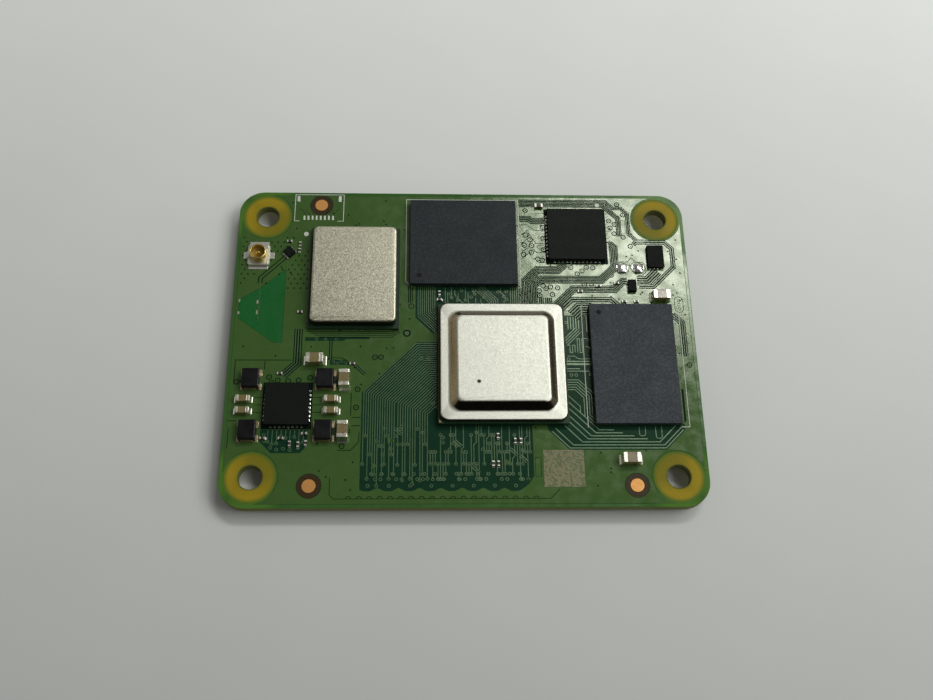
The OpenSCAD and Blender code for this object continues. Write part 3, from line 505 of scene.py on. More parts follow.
def welded_shading(name, sharp_angle):
    """Joins the split vertices of an imported mesh and shades it smooth up to that angle."""
    group = bpy.data.node_groups.new(name, "GeometryNodeTree")
    group.interface.new_socket("Geometry", in_out="INPUT", socket_type="NodeSocketGeometry")
    group.interface.new_socket("Geometry", in_out="OUTPUT", socket_type="NodeSocketGeometry")
    enter = group.nodes.new("NodeGroupInput")
    leave = group.nodes.new("NodeGroupOutput")
    weld = group.nodes.new("GeometryNodeMergeByDistance")
    weld.inputs["Distance"].default_value = WELD * MM
    normal = group.nodes.new("GeometryNodeSetMeshNormal")
    normal.mode = "SHARPNESS"
    normal.inputs["Remove Custom"].default_value = True
    angle = group.nodes.new("GeometryNodeInputMeshEdgeAngle")
    sharp = group.nodes.new("FunctionNodeCompare")
    sharp.operation = "GREATER_THAN"
    sharp.inputs[1].default_value = sharp_angle
    link = group.links.new
    link(enter.outputs[0], weld.inputs["Geometry"])
    link(weld.outputs[0], normal.inputs["Mesh"])
    link(angle.outputs["Unsigned Angle"], sharp.inputs[0])
    link(sharp.outputs[0], normal.inputs["Edge Sharpness"])
    normal.inputs["Face Sharpness"].default_value = False
    link(normal.outputs[0], leave.inputs[0])
    return group


ROUND_SHADING = welded_shading("round_shading", ROUND_ANGLE)
FLAT_SHADING = welded_shading("flat_shading", FLAT_ANGLE)
FLAT_TOPPED = ("flash_package", "memory_package")


def finish_node(name, material, softening):
    """Gives a CAD node its material and shading, and softens its edges by so many millimetres."""
    node = nodes[name]
    node.data.materials.clear()
    node.data.materials.append(material)
    shading = FLAT_SHADING if name in FLAT_TOPPED else ROUND_SHADING
    node.modifiers.new("shading", "NODES").node_group = shading
    if material == FERRITE:
        whole = node.modifiers.new("whole_faces", "DECIMATE")
        whole.decimate_type = "DISSOLVE"
        whole.angle_limit = SAME_PLANE
    if softening:
        bevel = node.modifiers.new("soft_edges", "BEVEL")
        bevel.width = softening * MM
        bevel.segments = BEVEL_STEPS
        bevel.limit_method = "ANGLE"
        bevel.angle_limit = ROUND_ANGLE
        bevel.use_clamp_overlap = False
    even = node.modifiers.new("flat_faces", "WEIGHTED_NORMAL")
    even.keep_sharp = True


for name, (material, softening) in FINISH.items():
    finish_node(name, material, softening)


# Board artwork: outlines and paths in the plane of the board

def circle(x, y, r, steps=24):
    turns = [2 * math.pi * k / steps for k in range(steps)]
    return [(x + r * math.cos(t), y + r * math.sin(t)) for t in turns]


def arc(x, y, r, start, end, steps=14):
    turns = [math.radians(start + (end - start) * k / steps) for k in range(steps + 1)]
    return [(x + r * math.cos(t), y + r * math.sin(t)) for t in turns]


def rectangle(x0, y0, x1, y1):
    return [(x0, y0), (x1, y0), (x1, y1), (x0, y1)]


def aside(path, shift, closed=False):
    """The path moved to its left by shift, with mitred corners."""
    count = len(path)
    moved = []
    for i, (x, y) in enumerate(path):
        normals = []
        for a, b in ((i - 1, i), (i, i + 1)):
            if closed or 0 <= a and b < count:
                ax, ay = path[a % count]
                bx, by = path[b % count]
                length = math.hypot(bx - ax, by - ay)
                normals.append(((ay - by) / length, (bx - ax) / length))
        (ux, uy), (vx, vy) = normals[0], normals[-1]
        scale = shift / max(0.25, 1 + ux * vx + uy * vy)
        moved.append((x + (ux + vx) * scale, y + (uy + vy) * scale))
    return moved


def ribbon(path, width):
    """Outline of a line of that width along an open path."""
    return aside(path, -width / 2) + aside(path, width / 2)[::-1]


def wound(loop, left):
    """The loop with its inside on the left, or on the right."""
    area = sum(a[0] * b[1] - b[0] * a[1] for a, b in zip(loop, loop[1:] + loop[:1]))
    return loop if (area > 0) == left else loop[::-1]


class Layer:
    """Artwork on one face of the board: thin closed plates with sloped edges, in one mesh."""

    def __init__(self, name, material, slot, lift, face=1, base=None):
        self.name, self.material, self.slot = name, material, slot
        self.base = base if base is not None else (TOP if face > 0 else BOTTOM)
        self.top = self.base + face * lift
        self.slope = min(0.03, lift * 0.7)
        self.face = face
        self.points, self.faces, self.plates = [], [], 0

    def plate(self, outline, *holes):
        """A plate of that outline, with those holes."""
        loops = [wound(outline, True)] + [wound(hole, False) for hole in holes]
        upper = [aside(loop, self.slope, closed=True) for loop in loops]
        start = len(self.points)
        total = sum(len(loop) for loop in loops)
        top = self.top + self.face * LAYER_STEP * (self.plates % LAYER_STEPS)
        self.plates += 1
        self.points += [(x, y, self.base) for loop in loops for x, y in loop]
        self.points += [(x, y, top) for loop in upper for x, y in loop]
        flat = [p for loop in upper for p in loop]
        for a, b, c in tessellate_polygon([[Vector((x, y, 0)) for x, y in loop] for loop in upper]):
            (ax, ay), (bx, by), (cx, cy) = flat[a], flat[b], flat[c]
            if (bx - ax) * (cy - ay) < (cx - ax) * (by - ay):
                b, c = c, b
            self.faces.append([start + total + k for k in (a, b, c)])
            self.faces.append([start + k for k in (c, b, a)])
        first = start
        for loop in loops:
            count = len(loop)
            for i in range(count):
                j = (i + 1) % count
                self.faces.append([first + i, first + j, first + j + total, first + i + total])
            first += count

    def line(self, path, width):
        self.plate(ribbon(path, width))

    def bundle(self, path, count, pitch, width):
        """Parallel lines, centred on the path."""
        for k in range(count):
            self.line(aside(path, (k - (count - 1) / 2) * pitch), width)

    def disc(self, x, y, r, steps=16):
        self.plate(circle(x, y, r, steps))

    def ring(self, x, y, r, inner, steps=16):
        self.plate(circle(x, y, r, steps), circle(x, y, inner, steps))

    def build(self):
        """Makes the mesh, on the body."""
        mesh = bpy.data.meshes.new(self.name)
        faces = self.faces if self.face > 0 else [f[::-1] for f in self.faces]
        mesh.from_pydata([Vector(p) * MM for p in self.points], [], faces)
        mesh.materials.append(self.material)
        piece = bpy.data.objects.new(self.name, mesh)
        bpy.context.scene.collection.objects.link(piece)
        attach(piece, "root")


EDGE_PULLBACK = 0.45
RING_CLEAR_R = 3.1


def pour_outline():
    """Board outline without the copper-free rim, cut back round the four bolt holes."""
    x = HALF_W - EDGE_PULLBACK
    y = HALF_D - EDGE_PULLBACK
    out_x = math.degrees(math.acos((x - HOLE_X) / RING_CLEAR_R))
    out_y = math.degrees(math.asin((y - HOLE_Y) / RING_CLEAR_R))
    return (arc(HOLE_X, HOLE_Y, RING_CLEAR_R, 360 - out_x, 180 - out_y)
            + arc(-HOLE_X, HOLE_Y, RING_CLEAR_R, out_y, -180 + out_x)
            + arc(-HOLE_X, -HOLE_Y, RING_CLEAR_R, 180 - out_x, -out_y)
            + arc(HOLE_X, -HOLE_Y, RING_CLEAR_R, 180 + out_y, out_x))


SCALLOP_PITCH = 2.36
SCALLOP_AT = -9.93


def scallops(x_from, x_to, y, height, steps=90):
    """A border of round bays between narrow crests, from one X to another."""
    border = []
    for k in range(steps + 1):
        x = x_from + (x_to - x_from) * k / steps
        crest = abs(math.cos(math.pi * (x - SCALLOP_AT) / SCALLOP_PITCH)) ** 4
        border.append((x, y + height * crest))
    return border


# Areas without copper on the top face.
FAN_OUT = [(-11.9, -6.45), (-5.65, -0.2), (-2.4, -0.2), (-2.4, -10.2), (7.6, -10.2), (7.6, -16.4),
           (7.0, -17.3)] + scallops(6.4, -11.9, -18.1, 0.36)
FLASH_LANE = [(-5.8, 7.3), (-5.8, 3.0), (-3.75, 0.95), (-2.4, 0.95), (-2.4, 4.3), (6.75, 4.3),
              (6.75, 7.3)]
MEMORY_LANE = [(11.4, 3.3), (15.3, 3.3), (15.3, -10.3), (25.2, -10.3), (25.2, -11.0),
               (22.9, -13.35), (11.8, -13.35), (9.4, -10.95), (9.4, -10.0), (11.4, -10.0)]
POWER_LANE = [(-23.2, -11.0), (-17.9, -11.0), (-17.9, -12.9), (-18.7, -13.7), (-21.9, -13.7),
              (-23.2, -12.4)]
RADIO_LANE = [(-18.7, 0.38), (-18.7, -0.05), (-14.3, -0.05), (-13.9, 0.2), (-11.2, 0.2),
              (-11.2, 0.38)]
INDUCTOR_LANE = [(-15.7, -2.45), (-15.7, -3.05), (-13.5, -3.05), (-13.5, -2.75), (-14.1, -2.45)]
KEEPOUT = [(-26.8, 5.2), (-24.4, 6.75), (-21.4, 9.3), (-21.4, -0.3), (-22.4, -0.3), (-26.7, 2.8)]
BARE_AREAS = [FAN_OUT, FLASH_LANE, MEMORY_LANE, POWER_LANE, RADIO_LANE, INDUCTOR_LANE, KEEPOUT]

pour = Layer("mask_pour_top", MASK_POUR, "board", COPPER_LIFT)
border = HALF_D - EDGE_PULLBACK - 0.06
targets = []
for place in FIDUCIALS:
    targets.append([(x, min(y, border)) for x, y in circle(*place, FIDUCIAL_CLEAR_R)])
pour.plate(pour_outline(), *BARE_AREAS, *targets)

keepout = Layer("mask_keepout_top", MASK_KEEPOUT, "board", KEEPOUT_LIFT)
keepout.plate(aside(wound(KEEPOUT, True), 0.02, closed=True))

# Mask between the pour and the board's sides.
RIM_OUT = 0.07
RIM_IN = EDGE_PULLBACK - 0.05
RIM_END = 3.6
rim = Layer("mask_rim_top", MASK_RIM, "board", FILM_LIFT)
for side in (-1, 1):
    across = sorted((side * (HALF_W - RIM_OUT), side * (HALF_W - RIM_IN)))
    rim.plate(rectangle(across[0], RIM_END - HOLE_Y, across[1], HOLE_Y - RIM_END))
    across = sorted((side * (HALF_D - RIM_OUT), side * (HALF_D - RIM_IN)))
    rim.plate(rectangle(RIM_END - HOLE_X, across[0], HOLE_X - RIM_END, across[1]))

BORE_MARGIN = 0.06
RING_STEPS = 48


def bolt_rings(layer):
    """Bare laminate round the four bolt holes."""
    for side_x in (-1, 1):
        for side_y in (-1, 1):
            layer.ring(side_x * HOLE_X, side_y * HOLE_Y, RING_R, HOLE_R + BORE_MARGIN, RING_STEPS)


rings = Layer("bare_rings_top", LAMINATE, "laminate", FILM_LIFT)
bolt_rings(rings)

clearance = Layer("fiducial_clearance", BURNT, "laminate", FILM_LIFT)
for x, y in FIDUCIALS:
    clearance.ring(x, y, FIDUCIAL_CLEAR_R - 0.04, FIDUCIAL_INNER_R, 32)

TRACE_W = 0.12
GAP_W = 0.12
LINE_GAP_W = 0.13
AREA_GAP_W = 0.14
LEAD_GAP_W = 0.1
LEAD_PITCH = 0.5
LINE_SHARE = 0.6
VIA_R = 0.23
VIA_HOLE_R = 0.1
MOAT_W = 0.17

traces = Layer("mask_traces_top", MASK_TRACE, "board", COPPER_LIFT)
# Lines between processor and memory, lighter than the other traces as painted highlight.
glare_traces = Layer("mask_traces_painted_glare_top", MASK_TRACE_PAINTED_GLARE, "board", COPPER_LIFT)
gaps = Layer("pour_gaps_top", MASK_DARK, "board", GAP_LIFT)
buses = Layer("mask_buses_top", MASK_BUS, "board", BUS_LIFT)
vias = Layer("via_rings_top", MASK_TRACE, "board", VIA_LIFT)
stitches = Layer("via_dots_top", MASK_DARK, "board", GAP_LIFT)


def via(x, y, r=VIA_R):
    """A ring on bare mask."""
    vias.ring(x, y, r, VIA_HOLE_R, 12)


def pour_via(x, y, r=VIA_R):
    """A ring in the pour, inside a dark moat."""
    gaps.ring(x, y, r + MOAT_W, r, 16)
    gaps.disc(x, y, VIA_HOLE_R, 10)


def each(make, places, *size):
    """One via of a kind at each of the places."""
    for x, y in places:
        make(x, y, *size)


def cuts(paths, width):
    """Dark lines in the pour."""
    for path in paths:
        gaps.line(path, width)


def cut_bus(path, count, pitch):
    """A bus that runs through the pour: a dark channel with lines in it."""
    gaps.line(path, count * pitch + GAP_W)
    buses.bundle(path, count, pitch, pitch * LINE_SHARE)


def fan(path, count, pitch, feet):
    """Parallel lines that start at these heights in turn, each from a via."""
    for k in range(count):
        line = aside(path, (k - (count - 1) / 2) * pitch)
        line[0] = (line[0][0], feet[k % len(feet)])
        traces.line(line, TRACE_W)
        via(*line[0])


# Header fan-out: lines rise from rows of vias, lean at 45 degrees and run in under the processor.
fan([(-9.9, -16.0), (-9.9, -7.03), (-4.97, -2.1), (-2.0, -2.1)], 14, 0.27,
    (-16.2, -13.9, -16.7, -11.7, -15.0, -16.2, -12.9, -17.5, -16.2))
fan([(-6.05, -16.0), (-6.05, -8.43), (-3.42, -5.8), (-2.0, -5.8)], 13, 0.28,
    (-16.7, -12.7, -16.2, -16.9, -10.9, -15.1, -17.3))
COLUMNS = 40
COLUMN_PITCH = 0.29
COLUMN_ROWS = (-10.5, -11.6, -12.6, -13.6, -15.0, -16.15, -16.75)
for k in range(COLUMNS):
    x = -4.05 + COLUMN_PITCH * k
    start, end = sorted(rng.sample(range(len(COLUMN_ROWS)), 2))
    high, low = COLUMN_ROWS[start], COLUMN_ROWS[end]
    jog = COLUMN_PITCH if k % 5 == 2 and high - low > 1.5 else 0.0
    knee = (high + low) / 2
    bend = [(x, knee), (x + jog, knee + jog)] if jog else []
    traces.line([(x, low)] + bend + [(x + jog, high)], TRACE_W)
    via(x, low)
    if start:
        via(x + jog, high)
for k in range(15):
    via(-10.64 + 1.19 * k, COLUMN_ROWS[-2])
for k in range(8):
    via(-10.2 + SCALLOP_PITCH * k, COLUMN_ROWS[-1])
    via(-9.58 + SCALLOP_PITCH * k, COLUMN_ROWS[-1])
    via(-11.0 + SCALLOP_PITCH * k, -17.5)
each(via, [(-9.3, -10.8), (-7.3, -10.6), (-8.0, -11.7), (-10.1, -12.3), (-9.4, -12.9), (-7.7, -12.7),
           (-7.2, -12.7), (-9.4, -13.9), (-9.4, -15.1), (-4.9, -11.3), (-2.6, -11.9), (-2.6, -12.5),
           (-5.1, -2.3), (-4.2, -2.3), (-3.7, -7.8), (1.9, -13.3), (1.2, -11.3), (3.7, -12.6),
           (4.8, -13.6), (6.4, -13.4), (-1.1, -12.9)])
for x, y in ((-8.07, -10.8), (0.7, -15.3), (6.1, -14.0), (-3.4, -8.1), (-1.3, -12.2), (5.0, -13.2)):
    traces.bundle([(x, y), (x + 0.8, y - 0.75)], 2, 0.25, 0.14)
for x, y, r in ((-8.65, -12.2, 0.5), (-8.5, -13.2, 0.35), (-10.4, -15.2, 0.5), (4.65, -14.8, 0.5)):
    pour.plate(circle(x, y, r, 3))

# A line with small arches along the front edge, and an empty frame beside the printed patch.
ARCH_Y = -18.97
for k in range(19):
    gaps.line(arc(-13.1 + 1.16 * k, ARCH_Y, 0.28, 180, 0, 8), LINE_GAP_W)
gaps.line([(-15.2, -16.5), (-15.2, -18.5), (-14.75, ARCH_Y), (9.4, ARCH_Y), (10.5, -17.87)], GAP_W)
gaps.plate(rectangle(7.75, -16.5, 8.5, -14.2), rectangle(7.85, -16.4, 8.4, -14.3))

# Between flash and processor.
FLASH_PITCH = 0.25
traces.bundle([(-4.5, 7.2), (-4.5, 3.55), (-2.2, 1.25)], 9, FLASH_PITCH, TRACE_W)
traces.bundle([(6.1, 7.2), (6.1, 4.4)], 5, FLASH_PITCH, TRACE_W)
traces.bundle([(1.75, 7.0), (3.55, 5.2), (3.55, 4.4)], 5, FLASH_PITCH, TRACE_W)
cut_bus([(-6.42, 7.2), (-6.42, 4.9)], 2, 0.23)
pour_via(-6.29, 4.47)
for x, high, low, lean in ((-2.25, 7.0, 4.4, 0.0), (-1.95, 6.4, 4.4, 0.0), (-1.5, 7.0, 5.6, 0.0),
                           (-1.1, 6.6, 5.3, 0.3), (-0.7, 6.2, 4.8, 0.5), (0.18, 7.0, 5.3, 0.0),
                           (0.5, 6.3, 4.4, 0.0), (1.0, 6.9, 6.1, 0.3), (1.4, 5.6, 4.4, 0.0),
                           (2.0, 5.5, 4.6, 0.2), (4.4, 7.0, 5.8, 0.4), (4.8, 5.3, 4.4, 0.0)):
    knee = (high + low) / 2
    bend = [(x, knee), (x + lean, knee - lean)] if lean else []
    traces.line([(x, high)] + bend + [(x + lean, low)], TRACE_W)
    via(x + lean, low)
each(via, [(-1.6, 6.1), (-0.3, 6.6), (0.85, 5.7), (1.3, 6.6), (2.4, 5.7), (4.1, 6.4), (5.1, 6.5),
           (5.1, 5.4)])

# Between processor and memory: folded lines for equal length, short crossings, and a bus below, in a
# lighter copy of the trace mask as painted highlight.
glare_traces.bundle([(13.0, 1.5), (13.0, 3.2)], 5, 0.32, 0.15)
cut_bus([(13.0, 3.3), (13.9, 4.2), (15.4, 4.2)], 5, 0.32)
glare_traces.line([(14.6, 3.3), (14.6, 1.2)], 0.14)
glare_traces.bundle([(13.6, 1.5), (11.9, -0.2)], 4, 0.27, TRACE_W)
glare_traces.line([(13.35, -1.45), (13.35, 0.35), (13.63, 0.35), (13.63, -1.45), (13.91, -1.45),
           (13.91, 0.35), (14.6, 0.35), (15.0, -0.05)], TRACE_W)
glare_traces.line([(12.1, -0.5), (12.45, -0.5), (12.45, -1.45), (12.75, -1.45), (12.75, -0.5),
           (13.05, -0.5), (13.05, -1.45)], TRACE_W)
glare_traces.line([(14.3, -0.7), (14.6, -0.7), (14.9, -1.0), (15.3, -1.0)], TRACE_W)
glare_traces.line([(12.1, -1.9), (12.9, -1.9), (13.4, -2.25), (15.3, -2.25)], TRACE_W)
for y, end, width in ((-2.57, 15.3, 0.16), (-2.92, 15.3, 0.28), (-3.5, 13.5, 0.13), (-3.8, 14.6, 0.13)):
    glare_traces.line([(11.6, y), (end, y)], width)
glare_traces.bundle([(11.6, -5.5), (13.0, -5.5), (14.35, -6.85), (14.35, -9.2), (15.4, -10.25)],
            5, 0.3, TRACE_W)
glare_traces.line([(11.6, -6.5), (13.25, -8.15), (13.25, -8.9)], TRACE_W)
each(via, [(12.43, -4.3), (13.0, -4.3), (14.7, -4.2), (12.2, -2.3), (14.8, -7.9), (12.1, 2.4)])
BUS_STEP = 0.36
BUS_RISE = 2.2
LONG_LINES = 3
for k, (corner, end) in enumerate(((11.85, 22.85), (12.25, 22.7), (13.3, 22.2), (13.95, 20.8),
                                   (14.35, 19.3), (14.9, 18.0), (15.3, 17.0))):
    y = -13.15 + BUS_STEP * k
    back = min(corner - 9.6, 2.0) if k < LONG_LINES else corner - 11.6
    run = [(corner - back, y + back), (corner, y), (end, y)]
    if k < LONG_LINES:
        run.append((end + BUS_RISE, y + BUS_RISE))
    glare_traces.line(run, 0.14)
for x, depth in ((19.9, -11.55), (21.8, -11.85)):
    glare_traces.line([(x, -10.6), (x, depth), (x + 0.15, depth - 0.15), (x + 0.55, depth - 0.15),
               (x + 0.7, depth), (x + 0.7, -10.6)], 0.11)
cut_bus([(25.0, 3.55), (26.1, 2.45), (26.1, -1.9)], 3, 0.25)
gaps.line([(25.3, -3.6), (25.8, -3.1), (26.3, -3.1)], GAP_W)
pour_via(26.5, -3.0, 0.2)
gaps.plate([(25.2, -6.0), (25.5, -6.0), (25.5, -9.9), (25.2, -10.2)])

# Network controller: buses along its rear and front, to the start-up flash and to the processor.
cut_bus([(6.95, 19.0), (17.9, 19.0), (18.8, 18.1), (19.75, 18.1), (20.55, 17.3), (20.55, 14.45),
         (21.55, 13.45), (22.4, 13.45)], 2, 0.22)
cut_bus([(6.95, 18.5), (17.5, 18.5), (19.35, 16.65), (19.35, 14.1)], 3, 0.2)
cut_bus([(21.0, 12.95), (21.35, 13.3), (24.9, 13.3), (25.75, 12.45), (25.75, 9.9), (23.1, 7.25),
         (21.3, 7.25)], 2, 0.27)
cut_bus([(23.75, 9.35), (22.4, 8.0), (21.1, 8.0)], 4, 0.3)
cut_bus([(17.9, 12.85), (18.2, 12.85), (18.5, 12.55), (18.5, 9.85), (16.75, 8.1), (9.2, 8.1),
         (8.35, 7.25), (8.35, 4.4)], 5, 0.2)
cut_bus([(12.4, 10.3), (11.5, 9.4), (8.95, 9.4), (7.37, 7.82), (7.37, 4.4)], 5, 0.2)
cut_bus([(10.6, 4.2), (13.25, 6.85), (18.3, 6.85), (19.35, 7.9), (19.9, 7.9)], 4, 0.23)
cut_bus([(11.2, 3.65), (13.0, 5.45), (17.8, 5.45), (18.7, 4.55)], 2, 0.32)
cut_bus([(6.95, 16.5), (8.2, 16.5), (8.5, 16.2), (10.4, 16.2)], 3, 0.26)
cut_bus([(9.3, 5.7), (9.3, 4.4)], 2, 0.26)
cut_bus([(10.2, 5.7), (10.2, 4.4)], 3, 0.26)
island = [(19.65, 14.6), (20.12, 14.6), (20.12, 16.35), (19.65, 16.35)]
gaps.plate(aside(island, -0.1, closed=True), island)
for k in range(14):
    y = 10.8 + LEAD_PITCH * k
    reach = rng.choice((0.35, 0.55, 0.8, 1.05))
    turn = rng.choice((-0.25, 0.25))
    gaps.line([(10.35, y), (10.35 - reach, y), (10.1 - reach, y + turn)], LEAD_GAP_W)
    if y > 13.2:
        reach = rng.choice((0.3, 0.5, 0.75))
        gaps.line([(17.45, y), (17.45 + reach, y), (17.65 + reach, y + 0.2)], LEAD_GAP_W)
for k in range(11):
    x = 11.4 + LEAD_PITCH * k
    gaps.line([(x, 10.5), (x, 10.15), (x - 0.2, 9.95)], LEAD_GAP_W)
cuts([[(18.7, 10.4), (19.2, 10.6), (20.1, 10.55), (20.6, 11.15), (21.1, 10.6), (22.0, 10.5), (22.4, 10.1)],
      [(20.3, 10.4), (20.5, 9.6), (20.7, 9.2)],
      [(22.2, 10.0), (22.35, 9.3), (22.0, 8.8), (21.3, 8.7)],
      [(7.0, 16.55), (8.2, 16.55), (8.5, 16.2), (10.2, 16.2)],
      [(7.0, 15.6), (7.8, 15.7), (8.8, 14.9), (10.3, 14.9)],
      [(8.0, 14.6), (8.6, 13.6), (8.95, 13.05), (10.3, 13.05)],
      [(8.5, 12.3), (9.1, 11.75), (10.3, 11.9)],
      [(8.6, 11.1), (9.15, 10.45), (10.3, 10.4)],
      [(7.1, 14.1), (8.0, 15.0)],
      [(7.1, 12.9), (7.8, 13.6), (8.1, 14.3)],
      [(7.2, 11.9), (8.0, 12.5), (8.3, 13.3)],
      [(7.1, 10.9), (7.7, 11.5), (8.3, 11.7)],
      [(7.2, 13.3), (7.5, 12.4)],
      [(8.9, 15.75), (9.2, 15.95), (9.5, 15.75)]], LINE_GAP_W)
each(pour_via, [(7.7, 14.2), (7.5, 12.8), (8.25, 13.55), (8.4, 12.75), (8.35, 11.8), (7.4, 11.5)], 0.21)
each(pour_via, [(9.86, 15.3), (9.86, 13.8), (9.86, 12.2), (9.1, 10.9), (9.65, 10.75), (7.8, 17.7),
                (18.2, 16.3), (18.85, 15.8), (18.3, 15.3), (18.75, 14.5), (19.85, 14.0), (19.35, 18.65),
                (20.0, 17.15), (20.64, 12.75), (13.1, 9.75), (15.0, 9.8), (15.8, 9.75), (13.85, 8.9),
                (14.45, 9.3), (18.0, 8.75), (14.65, 7.5), (15.5, 7.6), (9.6, 7.25), (9.1, 6.6),
                (9.15, 5.95), (9.95, 6.9), (10.5, 7.1), (11.35, 7.0), (10.7, 6.1)], 0.19)
each(stitches.disc, [(26.36, 13.66), (26.5, 9.1), (25.5, 7.5), (25.86, 6.4), (21.64, 6.45), (26.6, 3.5),
                     (15.5, 5.95), (17.8, 5.85), (17.85, 7.75), (26.2, 11.0), (24.2, 8.1)], 0.14, 10)
OVAL_X = 25.97
OVAL_R = 0.45
oval = arc(OVAL_X, 5.36, OVAL_R, 0, 180) + arc(OVAL_X, 4.3, OVAL_R, 180, 360)
gaps.plate(aside(wound(oval, True), -GAP_W, closed=True), oval)
for y in (5.35, 4.83, 4.3):
    gaps.ring(OVAL_X, y, 0.22, 0.11, 12)

# Solder that ran out round the two heaps, with uneven rims.
SPREAD_STEPS = 28
spread = Layer("solder_spread", HEAPED, "solder", 0.06)
low, high = span("spare_solder_pads")
for x, swell in ((low.x + 0.62, 1.0), (high.x - 0.62, 1.12)):
    loop = []
    for k in range(SPREAD_STEPS):
        t = 2 * math.pi * k / SPREAD_STEPS
        reach_x = 0.82 + 0.1 * math.sin(3 * t) * swell
        reach_y = 0.86 + 0.12 * math.cos(2 * t + swell)
        loop.append((x + reach_x * math.cos(t), (low.y + high.y) / 2 + reach_y * math.sin(t)))
    gaps.plate(aside(loop, -0.11, closed=True), loop)
    spread.plate(aside(loop, 0.12, closed=True))
spread.build()


def grown(low, high, margin):
    """A node's outline from above as a rectangle, that much wider on each side."""
    return rectangle(low.x - margin, low.y - margin, high.x + margin, high.y + margin)


# Bare mask between the leads of the square packages.
for name in ("power_controller_body", "ethernet_controller_body"):
    gaps.plate(grown(*span(name), 0.36), grown(*span(name), -0.1))

# Radio: lines along its front side, the antenna line and the lines of the missing connector.
for k in range(4):
    y = 1.15 - 0.24 * k
    gaps.line([(-18.6 + 0.5 * k, y), (-8.6, y), (-7.9 + 0.1 * k, y + 0.7)], LINE_GAP_W)
gaps.ring(-6.8, 0.95, 0.5, 0.26, 12)
via(-6.8, 0.95)
ANTENNA_LINE = [(-21.3, 11.2), (-24.4, 8.1), (-24.4, 7.4)]
for side in (-1, 1):
    gaps.line(aside(ANTENNA_LINE, 0.21 * side), 0.18)
buses.line([(-24.4, 7.6), (-24.4, 2.4)], 0.15)
for k in (0, 1, 2, 5, 6, 7):
    x = -19.45 + LEAD_PITCH * k
    lean = (k - 3.5) * 0.22
    gaps.line([(x, 16.7), (x, 17.0), (x + lean, 17.0 + abs(lean))], LEAD_GAP_W)

# Power stage: isolation lines between its copper areas.
POWER_X = -20.35
cuts([[(-26.8, -2.5), (-20.1, -2.5)],
      [(-26.6, -2.6), (-26.6, -5.4)],
      [(-23.2, -2.6), (-23.2, -3.7)],
      [(-15.5, -2.2), (-14.4, -2.2), (-13.6, -2.6)],
      [(-26.8, -10.8), (-26.8, -13.2)],
      [(-14.5, -13.4), (-13.0, -13.4), (-12.1, -12.4), (-12.1, -11.2)],
      [(-13.1, -6.5), (-13.1, -9.3)],
      [(-13.0, -9.5), (-11.95, -9.5)],
      [(-13.0, -10.5), (-11.95, -10.5)],
      [(-27.0, -9.9), (-25.9, -9.9)]], AREA_GAP_W)
cut_bus([(-15.66, -0.05), (-15.66, -2.45)], 1, 0.3)
cut_bus([(-13.0, -2.9), (-11.6, -4.3)], 1, 0.3)
each(via, [(-17.4, 0.15), (-16.3, 0.15), (-15.05, 0.15), (-15.3, -2.7), (-14.85, -2.85), (-14.4, -2.65),
           (-13.9, -2.8)], 0.2)
for side in (-1, 1):
    for y in (-7.1, -8.0, -8.9):
        gaps.line([(POWER_X + 2.6 * side, y), (POWER_X + 3.9 * side, y)], GAP_W)
cut_bus([(-19.5, 1.5), (-19.5, -2.9), (-21.05, -4.45)], 3, 0.3)
for k in range(9):
    x = POWER_X + LEAD_PITCH * (k - 4)
    depth = rng.uniform(-12.9, -11.7)
    traces.line([(x, -10.9), (x, depth)], TRACE_W)
    via(x, depth)
each(via, [(-22.75, -12.3), (-22.0, -13.1), (-21.3, -13.3), (-20.55, -13.2), (-19.8, -13.35),
           (-18.9, -13.1), (-18.2, -12.5), (-22.8, -11.6)])
each(pour_via, [(-22.3, -5.3), (-21.6, -5.0), (-20.4, -5.1), (-19.2, -5.0), (-18.6, -5.6), (-22.6, -4.6),
                (-17.9, -4.7), (-26.3, -5.2), (-10.5, -2.1), (-9.8, -2.1), (-14.9, -5.4), (-12.4, -6.1),
                (-12.5, -8.3), (-14.0, -12.9)], 0.2)


def inside(loop, x, y):
    """Whether a point lies within the loop."""
    hit = False
    for (ax, ay), (bx, by) in zip(loop, loop[1:] + loop[:1]):
        if (ay > y) != (by > y) and x < (bx - ax) * (y - ay) / (by - ay) + ax:
            hit = not hit
    return hit


HOLE_CLEAR_R = 3.5
TARGET_CLEAR_R = 1.8


def near_hole(x, y):
    return math.hypot(abs(x) - HOLE_X, abs(y) - HOLE_Y) < HOLE_CLEAR_R


def stitch(x, y):
    """A small filled via in the pour, clear of the bare areas, the holes and the targets."""
    near_target = any(math.hypot(x - a, y - b) < TARGET_CLEAR_R for a, b in FIDUCIALS)
    if not near_hole(x, y) and not near_target and not any(inside(area, x, y) for area in BARE_AREAS):
        stitches.disc(x, y, 0.135, 10)


# Stitching vias: staggered rows beside the antenna line, others here and there.
for row in range(12):
    for k in range(11):
        x = -26.7 + 0.75 * k + 0.37 * (row % 2)
        y = 13.6 - 0.62 * row
        if abs(x - y + 32.5) > 1.3:
            stitch(x, y)
for _ in range(260):
    stitch(rng.uniform(-26.4, 26.4), rng.uniform(-18.4, 18.9))

for layer in (pour, keepout, rim, rings, clearance, traces, glare_traces, gaps, buses, vias, stitches):
    layer.build()

